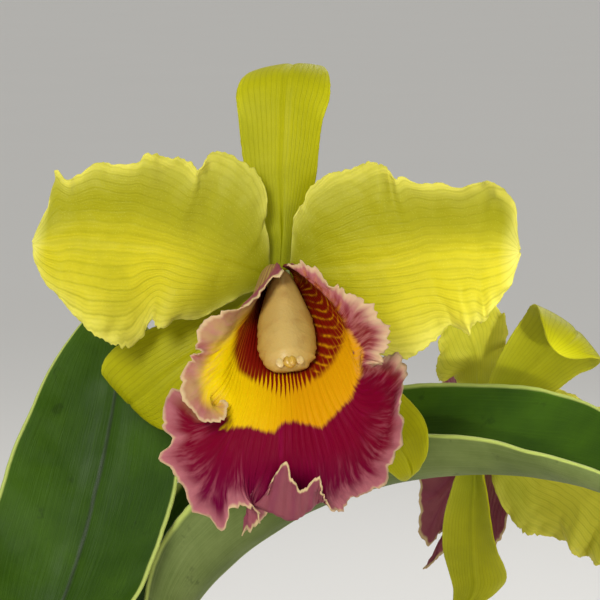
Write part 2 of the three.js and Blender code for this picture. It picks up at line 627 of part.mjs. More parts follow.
const rootsAndStem = [creepingStem(GAP), ...rootLines.map((line) => root(line, GAP))];
BULBS.forEach((one, k) => {
  add(`bulb_sheath_${k + 1}`, cutClear(sheath(one, k), rootsAndStem), 'sheath', 0.8);
});

// Leaves: the two of the newest bulbs frame the main bloom, and the older ones lean away over the rim
const leafShape = { thickness: LEAF_THICKNESS, rows: 16, columns: 6, reshape: inPot };
add('leaf_1', cutClear(blade(ARCHING_LEAF, leafShape), [grownBulbs[0]]), 'leaf', 0.45);
add('leaf_2', cutClear(blade(BROAD_LEAF, leafShape), [grownBulbs[1]]), 'leaf', 0.35);

function oldLeaf({ bulb: k, heading, lean, length, width, droop }) {
  const foot = vector(BULBS[k].top).add(new THREE.Vector3(0, 0, -1));
  const turn = THREE.MathUtils.degToRad(heading);
  const outward = new THREE.Vector3(Math.cos(turn), Math.sin(turn), 0);
  const across = new THREE.Vector3(-Math.sin(turn), Math.cos(turn), 0);
  const middle = [];
  const upper = [];
  const lower = [];
  const stations = 8;
  const point = foot.clone();
  for (let i = 0; i <= stations; i++) {
    const t = i / stations;
    const share = Math.sin(Math.PI * Math.min(1, 0.08 + 0.94 * t) ** 0.8) ** 0.6;
    const half = (width / 2) * Math.max(OLD_LEAF_BASE, share);
    const angle = THREE.MathUtils.degToRad(lean + droop * t);
    const fold = half * lerp(...OLD_LEAF_FOLD, t);
    const rise = outward.clone().multiplyScalar(-Math.cos(angle)).setZ(Math.sin(angle));
    middle.push(point.toArray());
    upper.push(point.clone().addScaledVector(across, half).addScaledVector(rise, fold).toArray());
    lower.push(point.clone().addScaledVector(across, -half).addScaledVector(rise, fold).toArray());
    point.addScaledVector(outward, (length / stations) * Math.sin(angle));
    point.z += (length / stations) * Math.cos(angle);
  }
  const leaf = blade({ upper, middle, lower }, { thickness: LEAF_THICKNESS, rows: 12, columns: 4 });
  return cutClear(leaf, [grownBulbs[k]]);
}
OLD_LEAVES.forEach((one, k) => add(`leaf_${k + 3}`, oldLeaf(one), 'leaf', 0.45));

// Blooms: each is a group whose frame is turned into place
const tepalShape = { thickness: SEPAL_THICKNESS, rows: 11, columns: 4 };
const petalShape = { thickness: PETAL_THICKNESS };

function columnRod(grow = 0) {
  return rod({
    line: COLUMN_LINE, radii: COLUMN_WIDTHS, depths: COLUMN_DEPTHS, sides: 12, steps: 9, grow,
  });
}

function ringPoints({ centre, radius, lean }, count) {
  return Array.from({ length: count }, (_, k) => {
    const angle = lerp(Math.PI / 2 + LIP_OPENING, (5 * Math.PI) / 2 - LIP_OPENING, k / (count - 1));
    const [x, y, z] = centre;
    const rise = radius * Math.sin(angle);
    return [x + radius * Math.cos(angle), y - rise * Math.sin(lean), z + rise * Math.cos(lean)];
  });
}

const LIP_ROWS = 5;
const LIP_COLUMNS = 66;
function lip(reshape) {
  const rings = [
    ringPoints(LIP_RINGS.base, 13), ringPoints(LIP_RINGS.tube, 13), LIP_RINGS.throat, LIP_RINGS.body,
    LIP_RINGS.frill, LIP_RINGS.margin,
  ].map((points) => curveThrough(points.map(reshape)));
  const grid = Array.from({ length: LIP_ROWS + 1 }, () => []);
  for (let j = 0; j <= LIP_COLUMNS; j++) {
    const outward = curveThrough(rings.map((ring) => ring.getPoint(j / LIP_COLUMNS).toArray()));
    grid.forEach((row, i) => row.push(outward.getPoint(i / LIP_ROWS)));
  }
  return sheet(grid, LIP_THICKNESS);
}

// A smaller petal that sweeps up and bends back along its length
function raised([x, y, z]) {
  const length = PETAL_REACH * Math.abs(x);
  const angle = Math.max(0, length - BEND_START) / BEND_RADIUS;
  const reach = Math.min(length, BEND_START) + BEND_RADIUS * Math.sin(angle);
  return [Math.sign(x) * reach, y + BEND_RADIUS * (1 - Math.cos(angle)), PETAL_WIDTH * z + PETAL_SLOPE * reach];
}

// Hangs the lip's front lobe narrower, to one side and further down
const swayed = (sway, reach) => ([x, y, z]) => {
  const drop = Math.max(0, SWAY_START - z);
  const narrowed = x * (1 - LIP_NARROWING * Math.min(1, drop / SWAY_EASE));
  return [narrowed + sway * drop, y + reach * drop, z - LIP_STRETCH * drop];
};

function bloom(prefix, { mirror, relax, lowered, bend, sway, petalRows, petalColumns }) {
  const group = new THREE.Group();
  const side = ([x, y, z]) => [mirror * x, y, z];
  const eased = ([x, y, z]) => [mirror * x, y > 9 ? 9 + (y - 9) * relax : y, z];
  const grownColumn = columnRod(GAP).scale(mirror, 1, 1);
  const organ = (name, shape, options, colour) => {
    add(`${prefix}_${name}`, cutClear(blade(shape, options), [grownColumn]), colour, 0.5, group);
  };
  organ('dorsal_sepal', DORSAL_SEPAL, { ...tepalShape, reshape: side }, 'sepal');
  const leftSepal = { ...tepalShape, reshape: ([x, y, z]) => eased([x, y, z - lowered * Math.abs(x)]) };
  organ('side_sepal_1', LEFT_SEPAL, leftSepal, 'sepal');
  organ('side_sepal_2', RIGHT_SEPAL, { ...tepalShape, reshape: eased }, 'sepal');
  const petals = { ...petalShape, rows: petalRows, columns: petalColumns, reshape: side };
  organ('petal_1', LEFT_PETAL, { ...petals, reshape: (point) => side(bend(point)) }, 'petal');
  organ('petal_2', RIGHT_PETAL, petals, 'petal');
  const sheetOfLip = lip((point) => side(sway(point)));
  add(`${prefix}_lip`, cutClear(sheetOfLip, [grownColumn]), 'lip', 0.5, group);
  add(`${prefix}_column`, facingOut(welded(columnRod().scale(mirror, 1, 1))), 'column', 0.4, group);
  return group;
}

const mainBloom = bloom('bloom_1', {
  mirror: 1, relax: 1, lowered: 0, bend: (point) => point, sway: (point) => point,
  petalRows: 21, petalColumns: 6,
});
mainBloom.applyMatrix4(bloomToPot);
potted.add(mainBloom);

const back = vector(SECOND_BLOOM_BACK).normalize();
const top = vector(SECOND_BLOOM_TOP).addScaledVector(back, -vector(SECOND_BLOOM_TOP).dot(back)).normalize();
const turned = new THREE.Matrix4()
  .makeBasis(back.clone().cross(top), back, top)
  .setPosition(vector(SECOND_BLOOM_CENTRE))
  .premultiply(bloomToPot);
const secondBloom = bloom('bloom_2', {
  mirror: -1, relax: 0.3, lowered: 0.15, bend: raised, sway: swayed(LIP_SWAY, LIP_REACH),
  petalRows: 14, petalColumns: 5,
});
secondBloom.applyMatrix4(turned);
potted.add(secondBloom);

// Flower stem: it rises in the fold of the arching leaf, out of a papery spathe, and forks to the blooms
const STEM_LINE = [
  [-41, 26, -129], [-41, 29, -118], [-39, 32, -106], [-35, 35, -92], [-28, 38, -79], [-20, 38, -67],
  [-13, 37, -56],
  [-8, 35, -47],
].map(inPot);
const STEM_TAPER = [1.15, 1.1, 1.04, 1, 1, 1];
const stem = (grow = 0) => rod({
  line: STEM_LINE, radii: STEM_TAPER.map((share) => share * STEM_RADIUS), sides: 8, steps: 14, grow,
});
const OVARY_END = [[0, 18, -3], [0, 10, -0.4], [0, 4.8, 0]];
const behindSecond = (point) => vector(point).applyMatrix4(turned).toArray();
const FIRST_PEDICEL = [[-7.5, 34.5, -46], [-5, 32, -34], [-2, 26, -17], ...OVARY_END].map(inPot);
const SECOND_PEDICEL = [
  ...[[-7, 35, -45.5], [3, 49, -32], [17, 61, -28], [32, 66, -38], [43, 68, -50]].map(inPot),
  ...OVARY_END.map(behindSecond),
];
const PEDICEL_RADII = [2.2, 2.2, 2.2, 2.5, 3.4, OVARY_RADIUS, 3.4];
const pedicel = (line, grow = 0) => rod({ line, radii: PEDICEL_RADII, sides: 7, steps: 13, grow });
add('flower_stem', cutClear(stem(), [grownBulbs[0]]), 'stem', 0.5);
add('pedicel_1', cutClear(pedicel(FIRST_PEDICEL), [stem(GAP)]), 'stem', 0.5);
add('pedicel_2', cutClear(pedicel(SECOND_PEDICEL), [stem(GAP), pedicel(FIRST_PEDICEL, GAP)]), 'stem', 0.5);

// Spathe: the dry sheath that the flower stem grew out of, a flattened sleeve open along its back
const SPATHE_SIDES = 8;
function spathe() {
  const path = curveThrough(STEM_LINE);
  const rows = 5;
  const columns = SPATHE_SIDES - 1;
  const grid = [];
  for (let i = 0; i <= rows; i++) {
    const t = lerp(...SPATHE_SPAN, i / rows);
    const [centre, tangent] = [path.getPoint(t), path.getTangent(t)];
    const side = new THREE.Vector3(1, 0, 0).addScaledVector(tangent, -tangent.x).normalize();
    const normal = tangent.clone().cross(side);
    const row = [];
    for (let j = 0; j <= columns; j++) {
      const angle = (2 * Math.PI * (j + 0.5)) / SPATHE_SIDES;
      const open = STEM_RADIUS + SPATHE_CLEARANCE + SPATHE_SWELL * Math.sin((Math.PI * i) / rows);
      row.push(centre.clone()
        .addScaledVector(side, Math.sin(angle) * open)
        .addScaledVector(normal, Math.cos(angle) * open)
        .addScaledVector(tangent, i === rows ? SPATHE_POINT * Math.cos(angle) : 0));
    }
    grid.push(row);
  }
  return sheet(grid, SHEATH_THICKNESS);
}
const grownLeaf = blade(ARCHING_LEAF, { ...leafShape, grow: GAP });
add('spathe', cutClear(spathe(), [grownLeaf]), 'sheath', 0.8);

export default potted;
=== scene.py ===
"""Potted cattleya orchid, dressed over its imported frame: petals, lips, leaves, bulbs, bark and clay pot."""

import logging
import math
import random
from dataclasses import dataclass, field
from enum import Enum
from typing import Callable, Sequence

import bmesh
import bpy
from mathutils import Matrix, Vector, noise


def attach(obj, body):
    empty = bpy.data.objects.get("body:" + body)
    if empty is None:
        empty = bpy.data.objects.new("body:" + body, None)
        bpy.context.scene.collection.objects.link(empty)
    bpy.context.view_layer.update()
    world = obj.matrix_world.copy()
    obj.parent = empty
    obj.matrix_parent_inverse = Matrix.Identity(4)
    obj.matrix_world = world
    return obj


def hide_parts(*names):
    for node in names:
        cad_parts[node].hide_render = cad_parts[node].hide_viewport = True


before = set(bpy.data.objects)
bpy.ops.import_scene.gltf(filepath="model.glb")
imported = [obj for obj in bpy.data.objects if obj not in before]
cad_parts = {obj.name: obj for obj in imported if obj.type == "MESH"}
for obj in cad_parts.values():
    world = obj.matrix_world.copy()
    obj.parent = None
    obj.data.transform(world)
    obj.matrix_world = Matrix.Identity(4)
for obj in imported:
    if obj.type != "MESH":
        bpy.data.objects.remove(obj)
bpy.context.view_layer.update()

LOG = logging.getLogger("orchid")
MM = 0.001  # metres in a millimetre
BODY = "root"
CHART = "sheet"  # the name of every piece's UV map

Colour = tuple[float, float, float]
Point = tuple[float, float, float]
Socket = bpy.types.NodeSocket
Value = float | Socket
Reshape = Callable[[Vector], Vector]


def rgb(code: str) -> Colour:
    """Turns a screen colour into linear light.

    Args:
        code: Six hex digits, red first.

    Returns:
        Red, green and blue in linear light.
    """
    parts = [int(code[i:i + 2], 16) / 255 for i in (0, 2, 4)]
    return tuple(p / 12.92 if p <= 0.04045 else ((p + 0.055) / 1.055) ** 2.4 for p in parts)


def lerp(a: float, b: float, t: float) -> float:
    """Reads the value at share t on the way from a to b."""
    return a + (b - a) * t


def clamp(value: float) -> float:
    """Holds a value between 0 and 1."""
    return min(max(value, 0.0), 1.0)


def along(values: Sequence[float], t: float) -> float:
    """Reads evenly spaced values at a place between the first and the last.

    Args:
        values: The values, from base to tip.
        t: The place, from 0 to 1.

    Returns:
        The value there, linear between its neighbours.
    """
    place = clamp(t) * (len(values) - 1)
    index = min(int(place), len(values) - 2)
    return lerp(values[index], values[index + 1], place - index)


class Curve:
    """A smooth line through points, its parameter even from point to point."""

    STEP = 1e-4  # half the chord that stands for a tangent

    def __init__(self, points: Sequence[Point | Vector]) -> None:
        """Keeps the points, with one more laid out beyond each end.

        Args:
            points: The points that the line passes through.
        """
        kept = [Vector(p) for p in points]
        self.spans = len(kept) - 1
        self.points = [2 * kept[0] - kept[1], *kept, 2 * kept[-1] - kept[-2]]

    def at(self, t: float) -> Vector:
        """Finds a point of the line.

        Args:
            t: The place, from 0 at the first point to 1 at the last.

        Returns:
            The point.
        """
        place = clamp(t) * self.spans
        index = min(int(place), self.spans - 1)
        w = place - index
        a, b, c, d = self.points[index:index + 4]
        start, end = (c - a) / 2, (d - b) / 2
        square, cube = 3 * (c - b) - 2 * start - end, 2 * (b - c) + start + end
        return b + w * start + w * w * square + w ** 3 * cube

    def tangent(self, t: float) -> Vector:
        """Finds the line's direction at a place from 0 to 1."""
        low, high = max(t - self.STEP, 0.0), min(t + self.STEP, 1.0)
        return (self.at(high) - self.at(low)).normalized()

    def frame_at(self, t: float, across: Vector) -> tuple[Vector, Vector, Vector]:
        """Finds the directions of a cross-section.

        Args:
            t: The place, from 0 to 1.
            across: A direction that the section's side follows.

        Returns:
            The tangent, the side and the normal of the section.
        """
        tangent = self.tangent(t)
        side = (across - tangent * across.dot(tangent)).normalized()
        return tangent, side, tangent.cross(side)


def wander(point: Vector, size: float, seed: float = 0.0) -> float:
    """Gives smooth noise from about -1 to 1, its swellings of a size in millimetres."""
    return noise.noise(point / size + Vector((seed, 2.7 * seed, -seed)))


class Graph:
    """One procedural material, put together node by node."""

    def __init__(self, name: str) -> None:
        """Starts a material.

        Args:
            name: The material's name.
        """
        self.material = bpy.data.materials.new(name)
        self.material.use_nodes = True
        self.tree = self.material.node_tree
        self.shader = next(n for n in self.tree.nodes if n.type == "BSDF_PRINCIPLED")

    def feed(self, socket: Socket, value: Value | Colour) -> None:
        """Links or sets an input.

        Args:
            socket: The input.
            value: Another node's output, a number or a colour.
        """
        if isinstance(value, bpy.types.NodeSocket):
            self.tree.links.new(value, socket)
        elif socket.type == "RGBA":
            socket.default_value = (*value, 1.0)
        else:
            socket.default_value = value

    def node(self, kind: str, inputs: dict[str | int, Value | Colour],
             **settings: object) -> bpy.types.Node:
        """Adds a node.

        Args:
            kind: The node's type without its prefix.
            inputs: What each input is linked or set to.
            settings: The node's own settings.

        Returns:
            The node.
        """
        made = self.tree.nodes.new("ShaderNode" + kind)
        for key, value in settings.items():
            setattr(made, key, value)
        for key, value in inputs.items():
            self.feed(made.inputs[key], value)
        return made

    def math(self, operation: str, a: Value, b: Value = 0.0) -> Socket:
        """Works out one operation of the Math node."""
        return self.node("Math", {0: a, 1: b}, operation=operation).outputs[0]

    def add(self, a: Value, b: Value) -> Socket:
        """Adds two numbers."""
        return self.math("ADD", a, b)

    def times(self, a: Value, b: Value) -> Socket:
        """Multiplies two numbers."""
        return self.math("MULTIPLY", a, b)

    def rise(self, value: Value, low: Value, high: Value) -> Socket:
        """Eases from 0 to 1.

        Args:
            value: The number that is read.
            low: Where the result is 0.
            high: Where the result is 1.

        Returns:
            The eased share.
        """
        inputs = {"Value": value, "From Min": low, "From Max": high}
        return self.node("MapRange", inputs, interpolation_type="SMOOTHSTEP").outputs[0]

    def mix(self, share: Value, a: Value | Colour, b: Value | Colour) -> Socket:
        """Mixes two colours, with this share of the second."""
        return self.node("Mix", {0: share, 6: a, 7: b}, data_type="RGBA").outputs[2]

    def place(self, stretch: Point = (1, 1, 1)) -> Socket:
        """Reads the piece's own coordinates, scaled along each axis."""
        source = self.node("TexCoord", {}).outputs["Object"]
        return source if stretch == (1, 1, 1) else self.stretched(source, stretch)

    def stretched(self, vector: Socket, stretch: Point) -> Socket:
        """Scales coordinates along each axis."""
        return self.node("VectorMath", {0: vector, 1: stretch}, operation="MULTIPLY").outputs[0]

    def sheet(self) -> tuple[Socket, Socket, Socket]:
        """Reads the piece's UV map.

        Returns:
            The map's vector, its first and its second coordinate.
        """
        vector = self.node("UVMap", {}, uv_map=CHART).outputs[0]
        parts = self.node("SeparateXYZ", {0: vector})
        return vector, parts.outputs[0], parts.outputs[1]

    def attribute(self, name: str) -> Socket:
        """Reads a number kept on the piece's corners."""
        return self.node("Attribute", {}, attribute_name=name).outputs["Fac"]

    def noise(self, vector: Socket, scale: float, detail: float = 3.0, rough: float = 0.55) -> Socket:
        """Adds soft noise.

        Args:
            vector: The coordinates.
            scale: How many swellings there are in a unit.
            detail: The number of finer layers.
            rough: The strength of the finer layers.

        Returns:
            Noise from 0 to 1.
        """
        inputs = {"Vector": vector, "Scale": scale, "Detail": detail, "Roughness": rough}
        return self.node("TexNoise", inputs).outputs[0]

    def cells(self, vector: Socket, scale: float) -> Socket:
        """Gives the distance from a cell's middle, with so many cells in a unit."""
        return self.node("TexVoronoi", {"Vector": vector, "Scale": scale}).outputs["Distance"]

    def stripes(self, value: Value, count: float, sharp: float) -> Socket:
        """Draws lines at even steps.

        Args:
            value: The number that is ruled.
            count: The lines in a unit of it.
            sharp: How narrow each line is.

        Returns:
            1 on a line, falling to 0 between the lines.
        """
        wave = self.math("SINE", self.times(value, 2 * math.pi * count))
        return self.math("POWER", self.add(self.times(wave, 0.5), 0.5), sharp)

    def dress(self, colour: Value | Colour, rough: Value, height: Value | None = None, depth: float = 0.0,
              steady: dict[str, object] | None = None) -> bpy.types.Material:
        """Feeds the surface shader.

        Args:
            colour: The surface colour.
            rough: The roughness.
            height: The relief, from 0 to 1.
            depth: The depth of the relief, in millimetres.
            steady: Inputs that are the same all over.

        Returns:
            The finished material.
        """
        inputs = self.shader.inputs
        self.feed(inputs["Base Color"], colour)
        self.feed(inputs["Roughness"], rough)
        if height is not None:
            bump = self.node("Bump", {"Strength": 1.0, "Distance": depth * MM, "Height": height})
            self.feed(inputs["Normal"], bump.outputs[0])
        for key, value in (steady or {}).items():
            inputs[key].default_value = value
        return self.material


@dataclass(frozen=True)
class TepalFinish:
    """A petal's or sepal's skin: fan veins, a paler margin, fine glistening cells with a painted glint, and
    painted shade that can deepen the upper half.
    """

    name: str
    face: Colour
    vein: Colour
    heart: Colour
    margin: Colour
    veins: float = 30.0  # from margin to margin, twice over
    fan: float = 0.72  # how much they spread from the base
    vein_strength: float = 0.42
    painted_upper_shade: float = 0.0  # how much painted shade deepens the upper half
    heart_end: float = 0.42  # where the deeper base ends, as a share of the length
    tip_start: float = 0.86  # where the paler tip starts
    rough: float = 0.5

    def make(self) -> bpy.types.Material:
        """Builds the material."""
        g = Graph(self.name)
        _, u, v = g.sheet()
        own = g.place()
        drift = g.times(g.add(g.noise(own, 55, 2), -0.5), 0.12)
        fan = g.add(g.times(v, g.add(1.0, g.times(u, -self.fan))), drift)
        bold = g.stripes(fan, self.veins / 2, 6.0)
        fine = g.stripes(fan, self.veins * 1.45, 2.0)
        broken = g.rise(g.noise(own, 130, 3), 0.3, 0.62)
        lines = g.add(g.times(bold, 0.65), g.times(g.times(fine, broken), 0.45))
        cloud = g.noise(own, 45, 5, 0.6)
        cells = g.cells(own, 1500)
        edge = g.math("POWER", g.math("ABSOLUTE", v), 5.0)
        colour = g.mix(g.rise(u, self.heart_end, 0.02), self.face, self.heart)
        # Painted shade: the upper half, short of its very margin, deepens towards the heart colour.
        shade = g.times(g.rise(v, 0.15, -0.45), g.rise(v, -1.0, -0.8))
        colour = g.mix(g.times(shade, self.painted_upper_shade), colour, self.heart)
        colour = g.mix(g.times(edge, 0.7), colour, self.margin)
        colour = g.mix(g.rise(u, self.tip_start, 1.0), colour, self.margin)
        colour = g.mix(g.times(lines, self.vein_strength), colour, self.vein)
        colour = g.mix(g.times(g.rise(cloud, 0.42, 0.75), 0.4), colour, self.vein)
        # Painted glint: the middles of the fine cells are lightened towards the margin colour.
        colour = g.mix(g.times(g.rise(cells, 0.35, 0.0), 0.16), colour, self.margin)
        relief = g.add(g.times(lines, -0.16), g.add(g.times(cells, 0.08), g.times(cloud, 0.8)))
        rough = g.add(self.rough, g.times(g.add(cloud, -0.5), 0.3))
        steady = {"Subsurface Weight": 0.15, "Subsurface Radius": (1.0, 0.9, 0.1),
                  "Subsurface Scale": 0.0012, "Specular IOR Level": 0.12}
        return g.dress(colour, rough, relief, 0.4, steady)


@dataclass(frozen=True)
class LipFinish:
    """The lip's inner face: a ribbed maroon throat, a yellow band and a deep magenta front lobe."""

    name: str = "lip_face"
    magenta: Colour = rgb("6c001e")
    purple: Colour = rgb("56002e")
    streak: Colour = rgb("7c0034")
    maroon: Colour = rgb("701004")
    gold: Colour = rgb("c88a00")
    lemon: Colour = rgb("dcbc00")
    beige: Colour = rgb("aa8a54")
    dusty: Colour = rgb("8c4c3c")
    crimson: Colour = rgb("701c20")
    cream: Colour = rgb("cbb184")
    blush: Colour = rgb("b06c70")
    veins: float = 50.0  # lines round the whole lip
    ribs: float = 44.0  # lines across the throat's right wall
    ray_length: float = 30.0  # of the throat's rays, in picture pixels
    mottle_width: float = 16.0  # of the mottled zone inside the margin, in millimetres
    blush_width: float = 6.5  # of the paler zone at the margin
    cream_width: float = 1.4  # of the cream edge
    lobe_cream: float = 3.6  # more of it on the right lobe

    def make(self) -> bpy.types.Material:
        """Builds the material."""
        g = Graph(self.name)
        sheet, round_, out = g.sheet()
        own = g.place()
        cloud = g.noise(own, 90, 4)
        grain = g.noise(own, 420, 3)
        uneven = g.add(g.times(cloud, 2.0), -1.0)
        line = g.add(round_, g.times(uneven, 0.006))
        stripe = g.stripes(line, self.veins, 1.0)
        lean = g.add(stripe, -0.5)
        ray = g.noise(g.stretched(sheet, (150, 5, 1)), 1.0, 3, 0.6)
        low = g.rise(g.attribute("fall"), 0.25, 0.8)
        colour = g.mix(g.times(low, 0.75), self.magenta, self.purple)
        colour = g.mix(g.times(g.rise(ray, 0.48, 0.8), 0.6), colour, self.streak)
        colour = g.mix(g.times(g.attribute("midline"), 0.55), colour, self.streak)
        right = g.rise(g.add(g.attribute("right_lobe"), g.times(uneven, 6.0)), -7.0, 7.0)
        colour = g.mix(right, colour, g.mix(g.rise(ray, 0.35, 0.7), self.crimson, self.dusty))
        left = g.rise(g.add(g.attribute("left_lobe"), g.times(uneven, 5.0)), -4.0, 4.0)
        colour = g.mix(left, colour, g.mix(g.rise(cloud, 0.4, 0.65), self.beige, self.dusty))
        speckle = g.times(g.add(ray, -0.5), 9.0)
        band = g.add(g.attribute("yellow"), g.add(g.times(uneven, 5.0), speckle))
        gold = g.mix(g.attribute("glow"), self.gold, self.lemon)
        colour = g.mix(g.rise(band, g.add(-3.0, g.times(left, -9.0)), 3.0), colour, gold)
        inside = g.attribute("throat")
        wall = g.times(g.rise(g.attribute("glow"), 0.1, 0.0), g.rise(g.attribute("rays"), 0.3, 0.0))
        rib = g.stripes(g.add(g.add(out, g.times(round_, -0.5)), g.times(uneven, 0.012)), self.ribs, 5.0)
        rib = g.times(rib, g.rise(grain, 0.32, 0.66))
        throat = g.mix(g.times(g.times(rib, wall), 0.8), self.maroon, self.gold)
        thread = g.math("POWER", g.add(1.0, g.times(stripe, -1.0)), 6.0)
        throat = g.mix(g.times(g.times(thread, g.rise(inside, 16.0, 2.0)), 0.45), throat, self.gold)
        rays = g.times(g.times(lean, g.attribute("rays")), self.ray_length)
        colour = g.mix(g.rise(g.add(inside, rays), -3.0, 5.0), colour, throat)
        edge = g.add(g.attribute("margin"), g.times(uneven, 1.6))
        mottle = g.times(g.rise(edge, self.mottle_width, 3.0), g.rise(ray, 0.42, 0.7))
        colour = g.mix(g.times(mottle, 0.45), colour, self.blush)
        blush = g.times(g.rise(edge, self.blush_width, 0.5), g.add(0.75, g.times(left, -0.45)))
        colour = g.mix(blush, colour, self.blush)
        wide = g.add(self.cream_width, g.times(right, self.lobe_cream))
        colour = g.mix(g.times(g.rise(edge, wide, 0.1), 0.8), colour, self.cream)
        relief = g.add(g.times(stripe, 0.35), g.add(g.times(ray, 0.5), g.times(grain, 0.3)))
        rough = g.add(0.4, g.times(grain, 0.18))
        steady = {"Subsurface Weight": 0.1, "Subsurface Radius": (1.0, 0.4, 0.4),
                  "Subsurface Scale": 0.0008, "Specular IOR Level": 0.04}
        return g.dress(colour, rough, relief, 0.4, steady)


@dataclass(frozen=True)
class LipBackFinish:
    """The lip's outer face: dusty pink with darker veins, olive where the tube starts."""

    name: str = "lip_back"
    pink: Colour = rgb("8c4a50")
    vein: Colour = rgb("7d2c48")
    olive: Colour = rgb("a08a3c")
    cream: Colour = rgb("c8b080")
    veins: float = 40.0  # lines round the whole lip

    def make(self) -> bpy.types.Material:
        """Builds the material."""
        g = Graph(self.name)
        sheet, round_, out = g.sheet()
        own = g.place()
        cloud = g.noise(own, 90, 4)
        ray = g.noise(g.stretched(sheet, (120, 4, 1)), 1.0, 3, 0.6)
        stripe = g.stripes(g.add(round_, g.times(cloud, 0.01)), self.veins, 3.0)
        colour = g.mix(g.rise(g.add(out, g.times(cloud, 0.3)), 0.75, 0.45), self.pink, self.olive)
        colour = g.mix(g.times(g.add(stripe, ray), 0.4), colour, self.vein)
        colour = g.mix(g.rise(g.attribute("margin"), 1.6, 0.5), colour, self.cream)
        grain = g.times(g.noise(own, 500), 0.3)
        relief = g.add(g.times(stripe, 0.5), g.add(g.times(ray, 0.5), grain))
        steady = {"Subsurface Weight": 0.1, "Subsurface Radius": (1.0, 0.5, 0.4),
                  "Subsurface Scale": 0.0008, "Specular IOR Level": 0.2}
        return g.dress(colour, g.add(0.42, g.times(cloud, 0.2)), relief, 0.4, steady)


@dataclass(frozen=True)
class ColumnFinish:
    """The column's waxy cream skin, flushed with red near its base, with painted light along its keel and
    painted shade down its sides.
    """

    name: str = "column_wax"
    cream: Colour = rgb("b28e3e")
    # The keel's colour is a painted highlight, and the shade colour is painted shade down the sides.
    ridge: Colour = rgb("c0a058")
    shade: Colour = rgb("94601f")
    flush: Colour = rgb("8c2c18")

    def make(self) -> bpy.types.Material:
        """Builds the material."""
        g = Graph(self.name)
        _, round_, out = g.sheet()
        own = g.place()
        cloud = g.noise(own, 160, 4)
        top = g.math("ABSOLUTE", g.add(round_, -0.25))
        # Painted light and shade: paler along the keel, which faces the light, and darker orange-brown down
        # the sides.
        colour = g.mix(g.rise(top, 0.02, 0.22), self.ridge, self.cream)
        colour = g.mix(g.times(g.rise(top, 0.12, 0.3), 0.8), colour, self.shade)
        # A random mottle in the same darker colour.
        colour = g.mix(g.times(g.rise(cloud, 0.5, 0.75), 0.4), colour, self.shade)
        colour = g.mix(g.times(g.rise(out, 0.42, 0.1), 0.7), colour, self.flush)
        fleck = g.rise(g.cells(own, 700), 0.22, 0.08)
        colour = g.mix(g.times(g.times(fleck, g.rise(top, 0.1, 0.24)), 0.5), colour, self.flush)
        relief = g.add(cloud, g.times(g.noise(own, 900), 0.4))
        steady = {"Subsurface Weight": 0.25, "Subsurface Radius": (1.0, 0.6, 0.3),
                  "Subsurface Scale": 0.0015, "Specular IOR Level": 0.35, "Coat Weight": 0.06,
                  "Coat Roughness": 0.3}
        return g.dress(colour, g.add(0.3, g.times(cloud, 0.2)), relief, 0.4, steady)


@dataclass(frozen=True)
class WaxFinish:
    """A small waxy part of the column: its anther cap, or the pale flaps beside it."""

    name: str
    colour: Colour
    seam: Colour
    rough: float = 0.28

    def make(self) -> bpy.types.Material:
        """Builds the material."""
        g = Graph(self.name)
        own = g.place()
        cloud = g.noise(own, 500, 4)
        colour = g.mix(g.rise(cloud, 0.45, 0.72), self.colour, self.seam)
        steady = {"Subsurface Weight": 0.25, "Subsurface Radius": (1.0, 0.8, 0.3),
                  "Subsurface Scale": 0.001, "Coat Weight": 0.2, "Coat Roughness": 0.2}
        return g.dress(colour, g.add(self.rough, g.times(cloud, 0.15)), g.noise(own, 1300), 0.2, steady)


class LeafSide(Enum):
    """The two faces of a strap leaf."""

    UPPER = "leaf_upper"
    UNDER = "leaf_under"


@dataclass(frozen=True)
class LeafFinish:
    """A leathery strap leaf: fine long veins, a folded rib and a thin pale margin."""

    side: LeafSide
    deep: Colour
    fresh: Colour
    blotch: Colour
    rib: Colour
    margin: Colour = rgb("a8b45a")
    rough: float = 0.36
    gloss: float = 0.1
    veins: float = 15.0  # lines from the rib to each margin
    rib_width: float = 0.05  # as a share of the half width
    margin_start: float = 0.962

    def make(self) -> bpy.types.Material:
        """Builds the material."""
        g = Graph(self.side.value)
        sheet, _, v = g.sheet()
        own = g.place()
        veins = g.noise(g.stretched(sheet, (7, 70, 1)), 1.0, 2, 0.5)
        ruled = g.stripes(g.add(v, g.times(g.noise(own, 30), 0.02)), self.veins, 2.0)
        cloud = g.noise(own, 24, 5, 0.6)
        spots = g.rise(g.noise(own, 95, 4, 0.7), 0.6, 0.7)
        pits = g.noise(own, 700, 2)
        colour = g.mix(g.rise(cloud, 0.32, 0.7), self.deep, self.fresh)
        colour = g.mix(g.times(g.rise(veins, 0.42, 0.72), 0.3), colour, self.fresh)
        colour = g.mix(g.times(ruled, 0.07), colour, self.deep)
        colour = g.mix(g.times(spots, 0.5), colour, self.blotch)
        across = g.math("ABSOLUTE", v)
        # The rib line: on the upper face a darker colour, painted shade in the rib's groove; on the underside
        # a paler keel.
        colour = g.mix(g.times(g.rise(across, self.rib_width, 0.008), 0.75), colour, self.rib)
        colour = g.mix(g.rise(across, self.margin_start, 0.988), colour, self.margin)
        relief = g.add(g.times(veins, 0.3), g.add(g.times(ruled, 0.05), g.times(pits, 0.12)))
        relief = g.add(relief, g.times(cloud, 0.7))
        rough = g.add(self.rough, g.add(g.times(cloud, 0.22), g.times(pits, 0.08)))
        steady = {"Specular IOR Level": 0.1, "Coat Weight": self.gloss, "Coat Roughness": 0.32}
        return g.dress(colour, rough, relief, 0.5, steady)


